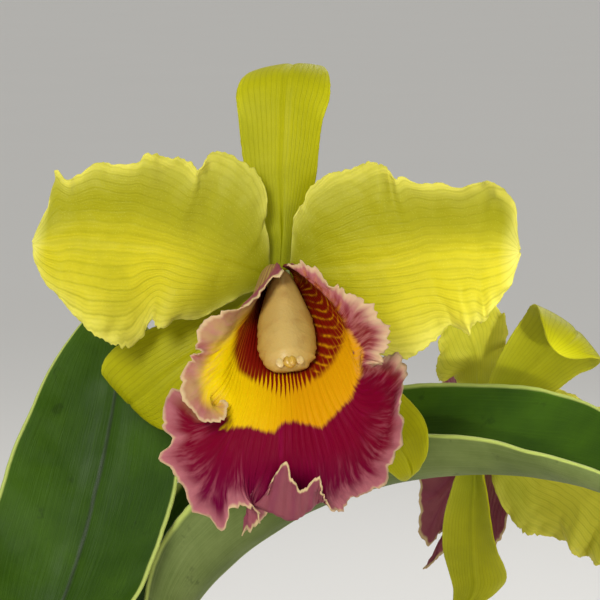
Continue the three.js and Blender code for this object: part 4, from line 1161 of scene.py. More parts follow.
@dataclass(kw_only=True)
class Lip(ThinSheet):
    """The lip: one sheet rolled round the column, from its base to its ruffled margin."""

    rings: Sequence[Sequence[Vector]]
    rest: Sequence[Sequence[Vector]]
    ruffle: float = 1.5  # crinkles near the margin
    ruffle_size: float = 2.6
    teeth: float = 1.9  # unevenness of the margin
    swell: float = 0.35
    swell_size: float = 5.0
    seed: float = 0.0
    spread: list[list[Vector]] = field(default_factory=list)
    resting: list[list[Vector]] = field(default_factory=list)

    TOOTH_PACES = (0.24, 0.6)  # of the broad and the fine teeth, a column
    CRINKLE_PACE = 0.37
    TOOTH_ZONE = 5  # the teeth take up the outer fifth

    def __post_init__(self) -> None:
        """Lays the sheet out over its rings, once in place and once as the main bloom holds it."""
        self.spread, self.resting = self.laid(self.rings), self.laid(self.rest)

    def laid(self, rings: Sequence[Sequence[Vector]]) -> list[list[Vector]]:
        """Draws a line outward over the rings in each column.

        Args:
            rings: The rings' points, from the base outward.

        Returns:
            For each column, its points from the base to the margin.
        """
        curves = [Curve(ring) for ring in rings]
        broad, fine = self.TOOTH_PACES
        shares = [max(0.0, self.TOOTH_ZONE * i / self.rows - self.TOOTH_ZONE + 1) ** 1.5
                  for i in range(self.rows + 1)]
        laid = []
        for j in range(self.columns + 1):
            outward = Curve([curve.at(j / self.columns) for curve in curves])
            tooth = noise.noise(Vector((j * broad, 1.3, self.seed)))
            tooth += 0.6 * noise.noise(Vector((j * fine, 4, 2)))
            reach = outward.tangent(1.0) * self.teeth * tooth
            laid.append([outward.at(i / self.rows) + reach * part for i, part in enumerate(shares)])
        return laid

    def place(self, i: int, j: int) -> Vector:
        """Gives the place of a corner."""
        return self.spread[j][i]

    def relief(self, i: int, j: int, at: Vector) -> float:
        """Gives crinkles that grow towards the margin."""
        out = i / self.rows
        fine = noise.noise(Vector((j * self.CRINKLE_PACE, out * 3, self.seed)))
        crinkle = 0.6 * (wander(at, self.ruffle_size, self.seed) + fine)
        return out ** 4 * self.ruffle * crinkle + self.swell * out * wander(at, self.swell_size)

    def weight(self, i: int, j: int) -> float:
        """Gives a thin margin."""
        return lerp(self.stout, self.thin, (i / self.rows) ** 3)

    def mark(self, i: int, j: int) -> dict[str, float]:
        """Gives the depth in each zone of the pattern, and the distance from the margin."""
        line = self.resting[j]
        x, y = seen_at(line[i])
        marks = {name: zone.depth(x, y) for name, zone in LIP_ZONES.items()}
        marks["left_lobe"] = min(marks["left_lobe"], ROUND * (LEFT_LOBE_END - j / self.columns))
        marks["margin"] = sum((b - a).length for a, b in zip(line[i:], line[i + 1:]))
        marks["fall"] = clamp((y - FALL_TOP) / (FALL_FOOT - FALL_TOP))
        column, first, last, half = MIDLINE
        ends = clamp(min(y - first, last - y) / MIDLINE_FADE)
        marks["midline"] = clamp(1.5 - abs(x - column) / half) * ends
        marks["rays"] = clamp(1 - abs(x - RAYS[0]) / RAYS[1]) * (y > RAYS[2])
        marks["glow"] = clamp((x - GLOW[0]) / (GLOW[1] - GLOW[0]))
        return marks


@dataclass(kw_only=True)
class Rod(Piece):
    """A round or flattened stalk: a straight tube bent along a line, with rounded ends."""

    path: Curve
    radii: Sequence[float]
    depths: Sequence[float] | None = None
    across: Vector = field(default_factory=lambda: Vector((1, 0, 0)))
    sides: int = 40
    steps: int = 48
    blunt: float = 0.6
    placed: Matrix = field(default_factory=Matrix)

    END_ARCS = (6, 26, 48, 70)  # degrees round a blunt end where its rings lie

    def swell(self, t: float, angle: float, at: Vector) -> float:
        """Gives the share of the plain radius at a place on the skin."""
        return 1.0

    def joint(self, t: float) -> float:
        """Gives how much a joint's scar shows, from 0 to 1."""
        return 0.0

    def skin(self, t: float, angle: float, reach: Vector) -> Vector:
        """Reshapes a point of the cross-section, across and through."""
        return reach

    def tube(self) -> bmesh.types.BMesh:
        """Builds the closed tube.

        Returns:
            The mesh, in millimetres.
        """
        arcs = [math.radians(a) for a in self.END_ARCS]
        stations = [(0.0, math.sin(a), -math.cos(a)) for a in arcs]
        stations += [(k / self.steps, 1.0, 0.0) for k in range(self.steps + 1)]
        stations += [(1.0, math.sin(a), math.cos(a)) for a in reversed(arcs)]
        bm = bmesh.new()
        bmesh.ops.create_circle(bm, cap_ends=False, radius=1.0, segments=self.sides)
        edges = list(bm.edges)
        for _ in stations[1:]:  # one ring a station, each a step higher until the tube is bent
            made = bmesh.ops.extrude_edge_only(bm, edges=edges)["geom"]
            fresh = {v for v in made if isinstance(v, bmesh.types.BMVert)}
            edges = [e for e in made if isinstance(e, bmesh.types.BMEdge) and set(e.verts) <= fresh]
            bmesh.ops.translate(bm, vec=(0, 0, 1), verts=list(fresh))
        bmesh.ops.holes_fill(bm, edges=bm.edges, sides=0)
        joint = bm.verts.layers.float.new("joint")
        chart = bm.loops.layers.uv.new(CHART)
        depths = self.depths or self.radii
        frames = {t: (self.path.at(t), *self.path.frame_at(t, self.across)) for t, _, _ in stations}
        spots = {v: (math.atan2(v.co.y, v.co.x), stations[round(v.co.z)]) for v in bm.verts}
        for v, (angle, (t, share, push)) in spots.items():
            point, tangent, side, normal = frames[t]
            reach = Vector((math.cos(angle) * along(self.radii, t), math.sin(angle) * along(depths, t)))
            swell = self.swell(t, angle, point + side * reach.x * 3)
            reach = self.skin(t, angle, reach) * share * swell
            shift = tangent * push * self.blunt * along(depths, t)
            v.co = self.placed @ (point + shift + side * reach.x + normal * reach.y)
            v[joint] = self.joint(t)
        bmesh.ops.recalc_face_normals(bm, faces=bm.faces)
        for f in bm.faces:
            turns = [spots[loop.vert][0] / math.tau for loop in f.loops]
            wrapped = max(turns) - min(turns) > 0.5
            for loop, turn in zip(f.loops, turns):
                loop[chart].uv = (turn + (1 if wrapped and turn < 0 else 0), spots[loop.vert][1][0])
        return bm

    def build(self) -> bpy.types.Object:
        """Builds the piece."""
        return self.publish(self.tube())


@dataclass(kw_only=True)
class Bulb(Rod):
    """A jointed club: shallow dry furrows between its joints, and a ring at each joint."""

    joints: Sequence[float] = (0.16, 0.36, 0.57, 0.78, 0.95)
    furrows: int = 11
    furrow: float = 0.035
    ring: float = 0.07
    ring_width: float = 0.03  # as a share of the length
    scar_width: float = 0.008
    seed: float = 0.0

    def ring_at(self, t: float, width: float) -> float:
        """Gives a bump at the nearest joint."""
        return math.exp(-(min(abs(t - place) for place in self.joints) / width) ** 2)

    def joint(self, t: float) -> float:
        """Gives the scar line at a joint."""
        return self.ring_at(t, self.scar_width)

    def swell(self, t: float, angle: float, at: Vector) -> float:
        """Gives furrows that fade at the joints, and the joints' rings."""
        near = self.ring_at(t, self.ring_width)
        lines = math.sin(self.furrows * angle + 1.5 * noise.noise(Vector((t * 6, angle, self.seed))))
        rough = 0.03 * wander(at, 9, self.seed)
        return 1 - self.furrow * (1 - near) * (0.5 + 0.5 * lines) + self.ring * near * 0.6 + rough


@dataclass(kw_only=True)
class Root(Rod):
    """An aerial root: a slightly knotty cord of living skin."""

    seed: float = 0.0

    def swell(self, t: float, angle: float, at: Vector) -> float:
        """Gives soft knots."""
        return 1 + 0.1 * wander(at, 7, self.seed) + 0.05 * wander(at, 2.5, self.seed)


@dataclass(kw_only=True)
class Stalk(Rod):
    """A flower stalk, its far part ribbed where it swells under the bloom."""

    ribs: float = 0.0
    nodes: Sequence[float] = ()
    ring: float = 0.12
    ring_width: float = 0.02  # as a share of the length

    def swell(self, t: float, angle: float, at: Vector) -> float:
        """Gives six ribs towards the end and a ring at each node."""
        ring = sum(self.ring * math.exp(-((t - place) / self.ring_width) ** 2) for place in self.nodes)
        rib = self.ribs * math.cos(6 * angle) * clamp(4 * t - 2.4)
        return 1 + rib + ring + 0.03 * wander(at, 6)


@dataclass(kw_only=True)
class Column(Rod):
    """The column: keeled above, hollow below, winged at its sides, with an anther cap at its tip."""

    keel: float = 0.45
    cap_place: float = 0.94
    cap_size: Point = (1.9, 2.0, 1.25)
    flap_size: Point = (1.05, 1.5, 0.4)
    flap_spread: float = 2.7
    cleft: float = 0.35  # depth and half width of the cleft down the cap's middle

    WINGS = (0.35, 0.4)  # where the wings start, and the share of the length in which they widen
    WING_THINNING = 0.55
    KEEL_WIDTH = 0.32  # as a share of the half width
    SHOULDER = (0.25, 0.55, 0.2)  # depth, place and width of the dip beside the keel
    HOLLOW = 0.75
    RAGGED, RAGGED_PACE = 0.05, 38  # of the wings' edges

    def skin(self, t: float, angle: float, reach: Vector) -> Vector:
        """Gives the keel, the thin ragged wings and the hollow underside."""
        x = math.cos(angle)
        flare = clamp((t - self.WINGS[0]) / self.WINGS[1])
        depth = reach.y * (1 - self.WING_THINNING * flare * abs(x) ** 2.5)
        if depth > 0:
            ridge = math.exp(-(x / self.KEEL_WIDTH) ** 2) * math.sin(math.pi * min(1.0, t * 1.05))
            dip, place, width = self.SHOULDER
            depth += self.keel * ridge - dip * flare * math.exp(-((abs(x) - place) / width) ** 2)
        else:
            depth *= 1 - self.HOLLOW * flare * (1 - x * x)
        edge = noise.noise(Vector((t * self.RAGGED_PACE, math.copysign(3, x), 0.5)))
        ragged = self.RAGGED * flare * abs(x) ** 8 * edge
        return Vector((reach.x * (1 + ragged), depth))

    def build(self) -> bpy.types.Object:
        """Builds the column with its cap and the pale flaps beside it."""
        bm = self.tube()
        point = self.path.at(self.cap_place)
        tangent, side, normal = self.path.frame_at(self.cap_place, self.across)
        axes = Matrix((side, tangent, normal)).transposed().to_4x4()
        lift = normal * along(self.depths, self.cap_place) * 0.82
        parts = [(Vector(), self.cap_size, 1), (side * self.flap_spread, self.flap_size, 2),
                 (-side * self.flap_spread, self.flap_size, 2)]
        for shift, size, finish in parts:
            known = set(bm.faces)
            middle = Matrix.Translation(point + lift + shift + tangent * 0.6)
            turned = self.placed @ middle @ axes @ Matrix.Diagonal((*size, 1))
            ball = bmesh.ops.create_uvsphere(bm, u_segments=28, v_segments=18, radius=1.0, matrix=turned)
            for f in set(bm.faces) - known:
                f.material_index = finish
            if finish == 1:  # the cap, with its cleft
                for v in ball["verts"]:
                    across = (self.placed.inverted() @ v.co - point - lift).dot(side)
                    cut = self.cleft * math.exp(-(across / self.cleft) ** 2)
                    v.co -= self.placed.to_3x3() @ normal * cut
        bmesh.ops.recalc_face_normals(bm, faces=bm.faces)
        return self.publish(bm)


@dataclass
class Pot:
    """The clay pot: a spun wall with a rim band, and a floor with four drain holes."""

    finish: bpy.types.Material
    height: float = 118
    rim_radius: float = 70
    rim_band: float = 24
    rim_step: float = 5
    foot_radius: float = 48
    wall: float = 6
    drain_radius: float = 6
    drain_ring: float = 27
    drains: int = 4
    turns: int = 112  # steps of the spun wall

    def outer(self, z: float) -> float:
        """Gives the outer radius of the wall at a height."""
        slope = (self.rim_radius - self.rim_step - self.foot_radius) / (self.height - self.rim_band)
        return self.foot_radius + slope * z

    def build(self) -> bpy.types.Object:
        """Spins the wall and lays the floor in it."""
        floor, top = self.wall + 1, self.height
        band, mouth = top - self.rim_band, self.outer(top) - self.wall
        section = [  # up the outside with its rounded corners, over the rim and down the inside
            (self.foot_radius - 8, 0), (self.foot_radius - 2, 0), (self.foot_radius - 0.6, 0.5),
            (self.foot_radius, 2), (self.outer(band / 2), band / 2), (self.outer(band) - 0.2, band - 0.6),
            (self.rim_radius - 2.4, band + 0.4), (self.rim_radius - 1.8, band + 1.4),
            (self.rim_radius - 0.2, top - 4.5), (self.rim_radius - 0.3, top - 2.4),
            (self.rim_radius - 1.2, top - 0.8), (self.rim_radius - 3, top), (mouth + 2.2, top),
            (mouth + 0.8, top - 0.9), (mouth, top - 2.5),
            (self.outer(floor + 3) - self.wall, floor + 3), (self.outer(floor) - self.wall - 3, floor),
            (self.foot_radius - 10, floor - 0.5), (self.foot_radius - 10, 0.4),
        ]
        bm = bmesh.new()
        ring = [bm.verts.new((r, 0, z)) for r, z in section]
        edges = [bm.edges.new(pair) for pair in zip(ring, (*ring[1:], ring[0]))]
        bmesh.ops.subdivide_edges(bm, edges=[e for e in edges if e.calc_length() > 12], cuts=12)
        bmesh.ops.spin(bm, geom=[*bm.verts, *bm.edges], cent=(0, 0, 0), axis=(0, 0, 1), angle=math.tau,
                       steps=self.turns, use_merge=True)
        bmesh.ops.recalc_face_normals(bm, faces=bm.faces)
        for v in bm.verts:
            outward = Vector((v.co.x, v.co.y, 0)).normalized()
            turned = 0.12 * math.sin(v.co.z * 2.1) * noise.noise(Vector((0, 0, v.co.z / 9)))
            v.co += outward * (0.3 * wander(v.co, 34) + turned) * min(1.0, v.co.z / 6)
        self.lay_floor(bm, floor)
        return Piece(node="pot", slot="clay", finishes=[self.finish]).publish(bm)

    def lay_floor(self, bm: bmesh.types.BMesh, floor: float) -> None:
        """Adds the pot's floor, with its drain holes.

        Args:
            bm: The pot's mesh.
            floor: The floor's thickness.
        """
        wall = set(bm.edges)
        bmesh.ops.create_circle(bm, segments=64, radius=self.foot_radius - 9)
        for k in range(self.drains):
            angle = math.tau * (k + 0.5) / self.drains
            middle = (self.drain_ring * math.cos(angle), self.drain_ring * math.sin(angle), 0)
            bmesh.ops.create_circle(bm, segments=24, radius=self.drain_radius,
                                    matrix=Matrix.Translation(middle))
        loops = [e for e in bm.edges if e not in wall]
        filled = bmesh.ops.triangle_fill(bm, use_beauty=True, edges=loops, normal=(0, 0, 1))["geom"]
        sole = [f for f in filled if isinstance(f, bmesh.types.BMFace)]
        raised = bmesh.ops.extrude_face_region(bm, geom=sole, use_keep_orig=True)["geom"]
        upper = [v for v in raised if isinstance(v, bmesh.types.BMVert)]
        bmesh.ops.translate(bm, vec=(0, 0, floor - 0.6), verts=upper)
        slab = [f for f in bm.faces if all(e not in wall for e in f.edges)]
        bmesh.ops.recalc_face_normals(bm, faces=slab)


@dataclass
class BarkBed:
    """The pot's filling: a rough bed, and loose fir bark chips heaped over it."""

    finish: bpy.types.Material
    top: float = 104
    crown: float = 3
    radius: float = 60.3
    foot: float = 7.3
    foot_radius: float = 43
    turns: int = 96  # steps of the spun bed
    chips: int = 430
    chip_sizes: tuple[float, float] = (7.0, 17.0)
    chip_widths: tuple[float, float] = (0.4, 0.75)  # as shares of the chip's length
    chip_depths: tuple[float, float] = (0.18, 0.34)
    chip_lifts: tuple[float, float] = (-2.6, 1.6)
    chip_tilt: float = 0.34  # typical, in radians
    knock: float = 0.09  # unevenness of a chip's corners
    bevel: float = 0.55
    bed_tone: float = 0.15
    seed: int = 41

    SIZE_BIAS = 1.6  # makes small chips more common
    WALL_GAP = 0.62  # share of a chip's length that keeps it off the wall

    def build(self) -> bpy.types.Object:
        """Spins the bed and scatters the chips."""
        section = [
            (0, self.foot), (self.foot_radius - 4, self.foot), (self.foot_radius - 0.6, self.foot + 3),
            (self.radius - 1, self.top - 5), (self.radius - 5, self.top - 2.5), (30, self.top - 1),
            (0, self.top),
        ]
        bm = bmesh.new()
        tone = bm.verts.layers.float.new("tone")
        points = [bm.verts.new((r, 0, z)) for r, z in section]
        edges = [bm.edges.new(pair) for pair in zip(points, points[1:])]
        bmesh.ops.subdivide_edges(bm, edges=[e for e in edges if e.calc_length() > 8], cuts=7)
        bmesh.ops.spin(bm, geom=[*bm.verts, *bm.edges], cent=(0, 0, 0), axis=(0, 0, 1), angle=math.tau,
                       steps=self.turns, use_merge=True)
        bmesh.ops.remove_doubles(bm, verts=bm.verts, dist=0.01)
        bmesh.ops.recalc_face_normals(bm, faces=bm.faces)
        for v in bm.verts:
            v[tone] = self.bed_tone
            if v.co.z > self.top - 3:
                v.co.z += 1.2 * wander(v.co, 7)
        self.scatter(bm, tone)
        return Piece(node="bark_bed", slot="bark", finishes=[self.finish]).publish(bm)

    def scatter(self, bm: bmesh.types.BMesh, tone: bmesh.types.BMLayerItem) -> None:
        """Heaps the chips on the bed.

        Args:
            bm: The bed's mesh.
            tone: The layer that keeps each chip's tone.
        """
        draw = random.Random(self.seed)
        edges = []
        for _ in range(self.chips):
            size = lerp(*self.chip_sizes, draw.random() ** self.SIZE_BIAS)
            reach = (self.radius - self.WALL_GAP * size - 1) * math.sqrt(draw.random())
            angle = math.tau * draw.random()
            height = self.top + self.crown * (1 - (reach / self.radius) ** 2)
            height += lerp(*self.chip_lifts, draw.random())
            turn = Matrix.Rotation(math.tau * draw.random(), 4, "Z")
            turn @= Matrix.Rotation(draw.gauss(0, self.chip_tilt), 4, "X")
            turn @= Matrix.Rotation(draw.gauss(0, self.chip_tilt), 4, "Y")
            width = size * lerp(*self.chip_widths, draw.random())
            depth = size * lerp(*self.chip_depths, draw.random())
            shape = Matrix.Diagonal((size, width, depth, 1))
            middle = Matrix.Translation((reach * math.cos(angle), reach * math.sin(angle), height))
            chip = bmesh.ops.create_cube(bm, size=1.0, matrix=middle @ turn @ shape)["verts"]
            shade = draw.random()
            for v in chip:
                v[tone] = shade
                shift = Vector((draw.uniform(-1, 1), draw.uniform(-1, 1), draw.uniform(-0.6, 0.6)))
                v.co += shift * size * self.knock
            edges += {e for v in chip for e in v.link_edges}
        bmesh.ops.bevel(bm, geom=edges, offset=self.bevel, offset_type="OFFSET", segments=1, profile=0.5,
                        affect="EDGES", material=-1, clamp_overlap=True)


@dataclass(kw_only=True)
class Sleeve(ThinSheet):
    """A dry papery sleeve round a stalk, open down one side, torn at its upper edge."""

    path: Curve
    span: tuple[float, float]
    turns: tuple[float, float]  # from one open edge round to the other, in radians
    widths: Sequence[float]
    depths: Sequence[float]
    flare: float
    torn: float
    point: float = 0.0
    belly: float = 0.0
    clear: float = 0.8
    seed: float = 0.0

    def place(self, i: int, j: int) -> Vector:
        """Gives the place of a corner of the sleeve."""
        rise, round_ = i / self.rows, j / self.columns
        t = lerp(*self.span, rise)
        tangent, side, normal = self.path.frame_at(t, Vector((1, 0, 0)))
        angle = lerp(*self.turns, round_)
        loose = self.clear + self.flare * rise ** 2 * (0.6 + 0.4 * math.sin(3 * angle + self.seed))
        loose += self.belly * math.sin(math.pi * rise)
        up = rise ** 6 * (self.torn * math.sin(2 * angle + self.seed) + self.point * math.cos(angle))
        up += rise ** 8 * 1.6 * noise.noise(Vector((j * 0.4, self.seed, 0.3)))
        out = side * math.sin(angle) * (along(self.widths, t) + loose)
        out += normal * math.cos(angle) * (along(self.depths, t) + loose)
        return self.path.at(t) + out + tangent * up

    def relief(self, i: int, j: int, at: Vector) -> float:
        """Gives long dry pleats."""
        rise = i / self.rows
        pleat = noise.noise(Vector((j * 0.5, rise * 1.5, self.seed)))
        return (0.12 + 0.35 * rise) * pleat + 0.3 * rise * wander(at, 8, self.seed)


BULBS = [  # newest first: foot, top and greatest radius
    ((14, -4, 110), (23, -17, 241), 10.5), ((-18, -6, 110), (-17, -37, 231), 10.0),
    ((-40, 4, 109), (-62, 12, 222), 9.5), ((-24, -34, 108), (-48, -62, 205), 9.0),
    ((-14, 30, 108), (-34, 64, 212), 9.0),
]
CLUB = [0.55, 0.6, 0.74, 0.9, 1, 0.99, 0.9, 0.72, 0.5]
BULB_FLATNESS = 0.8
BULB_BEND = Vector((-1.5, 2, 0))  # how far the middle of its line stands off
BULB_SIDES = 10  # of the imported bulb, one of which its sheath leaves open
SHEATH_SPAN = (0.06, 0.54)
RHIZOME_RADIUS = 5.2
RHIZOME_LINE = [(-50, 6, 106), (-38, 3, 108), (-18, -4, 108), (0, -6, 108), (14, -4, 108), (30, -2, 107)]
RHIZOME_TAPER = [0.48, 1, 1, 0.96, 1.04, 0.38]
SIDE_SHOOTS = [
    [(-22, -11, 107), (-25, -20, 106.5), (-25, -30, 106.5)],
    [(-20, 3, 107), (-16, 14, 106.5), (-14, 26, 106.5)],
]
SIDE_SHOOT_RADIUS = 4.1
ROOT_RADIUS = 2.4
ROOT_ACROSS = Vector((0.3, 0.2, 1))
ROOT_TAPER = [0.8, 1, 1, 0.96, 0.92, 0.67]
ROOTS = [
    [(26, -7, 106), (34, -14, 108.5), (42, -24, 109), (44, -32, 107), (36, -42, 106.5)],
    [(20, 4, 106), (30, 14, 108.5), (34, 28, 109), (26, 40, 107), (18, 47, 106.5)],
    [(2, -12, 106), (8, -24, 109), (4, -38, 109), (10, -49, 107)],
    [(-2, 2, 106), (4, 14, 109), (2, 30, 109.5), (-2, 44, 108)],
    [(-46, -2, 105), (-52, -12, 108), (-50, -26, 108.5), (-42, -38, 107)],
    [(32, -4, 105.5), (42, -6, 110), (54, -8, 119), (66, -9, 122.5), (74, -9.5, 116), (76.5, -9, 102),
     (76, -6, 88), (77, -3, 76)],
]
STEM_LINE = [
    (-41, 26, -129), (-41, 29, -118), (-39, 32, -106), (-35, 35, -92), (-28, 38, -79), (-20, 38, -67),
    (-13, 37, -56), (-8, 35, -47),
]
STEM_TAPER = [1.15, 1.1, 1.04, 1, 1, 1]
STEM_RADIUS = 2.6
STEM_NODES = (0.55, 0.97)
SPATHE_SPAN = (0.04, 0.32)
SPATHE_GAP = math.tau / 16  # half the angle left open
OVARY_END = [(0, 18, -3), (0, 10, -0.4), (0, 4.8, 0)]
FIRST_PEDICEL = [(-7.5, 34.5, -46), (-5, 32, -34), (-2, 26, -17)]
SECOND_PEDICEL = [(-7, 35, -45.5), (3, 49, -32), (17, 61, -28), (32, 66, -38), (43, 68, -50)]
PEDICEL_RADII = [2.2, 2.2, 2.2, 2.5, 3.4, 4.2, 3.4]


@dataclass
class Growths:
    """The creeping stem with its bulbs, their sheaths and the roots."""

    bulb: bpy.types.Material
    rhizome: bpy.types.Material
    sheath: bpy.types.Material
    root: bpy.types.Material

    def line(self, k: int) -> Curve:
        """Gives the middle line of a bulb."""
        foot, top, _ = BULBS[k]
        return Curve([foot, (Vector(foot) + Vector(top)) / 2 + BULB_BEND, top])

    def build(self) -> None:
        """Builds the stem, the bulbs and their sheaths, and the roots."""
        self.creeping_stem()
        for k, (_, _, radius) in enumerate(BULBS):
            radii = [share * radius for share in CLUB]
            depths = [share * BULB_FLATNESS for share in radii]
            Bulb(node=f"bulb_{k + 1}", slot="bulb", finishes=[self.bulb], path=self.line(k), radii=radii,
                 depths=depths, sides=66, steps=120, seed=k, blunt=0.5).build()
            start = math.tau * 2 * k / BULB_SIDES
            end = start + math.tau * (BULB_SIDES - 1) / BULB_SIDES
            Sleeve(node=f"bulb_sheath_{k + 1}", slot="sheath", finishes=[self.sheath], rows=36, columns=80,
                   thickness=0.45, thin=1.0, facing=Vector(), path=self.line(k), span=SHEATH_SPAN,
                   turns=(start, end), widths=radii, depths=depths, flare=2.4, torn=5, seed=k).build()
        for k, line in enumerate(ROOTS):
            Root(node=f"aerial_root_{k + 1}", slot="root", finishes=[self.root], path=Curve(line),
                 radii=[share * ROOT_RADIUS for share in ROOT_TAPER], across=ROOT_ACROSS, sides=22,
                 steps=90, seed=k, blunt=1.0).build()

    def creeping_stem(self) -> None:
        """Builds the creeping stem with its two side shoots as one piece."""
        main = Bulb(node="rhizome", slot="rhizome", finishes=[self.rhizome], path=Curve(RHIZOME_LINE),
                    radii=[share * RHIZOME_RADIUS for share in RHIZOME_TAPER], across=Vector((0, 1, 0)),
                    sides=36, steps=90, joints=(0.12, 0.24, 0.37, 0.5, 0.63, 0.76, 0.89), furrows=7,
                    ring=0.16)
        bm = main.tube()
        for line in SIDE_SHOOTS:
            shoot = Bulb(node="rhizome", slot="rhizome", finishes=[self.rhizome], path=Curve(line),
                         radii=[SIDE_SHOOT_RADIUS] * 2, sides=30, steps=36, joints=(0.3, 0.7), furrows=7,
                         ring=0.16).tube()
            mesh = bpy.data.meshes.new("side_shoot")
            shoot.to_mesh(mesh)
            shoot.free()
            bm.from_mesh(mesh)
            bpy.data.meshes.remove(mesh)
        main.publish(bm)


@dataclass(frozen=True)
class OldLeaf:
    """An older strap leaf: the bulb it stands on, and its heading, lean and size."""

    bulb: int
    heading: float
    lean: float
    length: float
    width: float
    droop: float
    base: float = 0.12
    folds: tuple[float, float] = (0.7, 0.25)
    stations: int = 8

    def outline(self) -> tuple[Outline, Vector]:
        """Draws the leaf from its bulb outward.

        Returns:
            Its outline, and the direction that its upper face looks.
        """
        point = Vector(BULBS[self.bulb][1]) + Vector((0, 0, -1))
        turn = math.radians(self.heading)
        outward = Vector((math.cos(turn), math.sin(turn), 0))
        across = Vector((-math.sin(turn), math.cos(turn), 0))
        lines: tuple[list[Vector], list[Vector], list[Vector]] = ([], [], [])
        facing = Vector()
        for i in range(self.stations + 1):
            t = i / self.stations
            share = abs(math.sin(math.pi * min(1.0, 0.08 + 0.94 * t) ** 0.8)) ** 0.6
            half = self.width / 2 * max(self.base, share)
            angle = math.radians(self.lean + self.droop * t)
            rise = outward * -math.cos(angle) + Vector((0, 0, math.sin(angle)))
            fold = rise * half * lerp(*self.folds, t)
            places = (point + across * half + fold, point.copy(), point - across * half + fold)
            for line, place in zip(lines, places):
                line.append(place)
            facing += rise
            step = self.length / self.stations
            point = point + outward * step * math.sin(angle) + Vector((0, 0, step * math.cos(angle)))
        return Outline(*lines), facing


@dataclass
class Leaves:
    """The five strap leaves."""

    upper: bpy.types.Material
    under: bpy.types.Material
    old: Sequence[OldLeaf] = (
        OldLeaf(2, 168, 34, 185, 40, 42),
        OldLeaf(3, 232, 46, 165, 36, 55),
        OldLeaf(4, 128, 40, 175, 38, 48),
    )

    def leaf(self, number: int, outline: Outline, facing: Vector, **shape: float) -> None:
        """Builds one leaf.

        Args:
            number: The leaf's number.
            outline: Its outline in the pot's frame.
            facing: Where its upper face looks.
            shape: Fields of the blade that differ from the usual ones.
        """
        usual = {"rows": 130, "columns": 44, "thickness": 1.9, "thin": 0.4, "ruffle": 0.5,
                 "ruffle_size": 9.0, "ruffle_reach": 3.0, "teeth": 0.004, "groove": 0.9, "swell": 0.5,
                 "swell_size": 26.0}
        Blade(node=f"leaf_{number}", slot="leaf", finishes=[self.upper, self.under], outline=outline,
              facing=facing, seed=number * 1.7, **{**usual, **shape}).build()

    def build(self) -> None:
        """Builds the two leaves that frame the main bloom, then the older ones."""
        self.leaf(1, ARCHING_LEAF.reshaped(lambda p: BLOOM_PLACE @ p), Vector((0, 0, 1)))
        self.leaf(2, BROAD_LEAF.reshaped(lambda p: BLOOM_PLACE @ p), FRONT, swell=0.8, swell_size=18.0)
        for k, leaf in enumerate(self.old):
            self.leaf(k + 3, *leaf.outline())


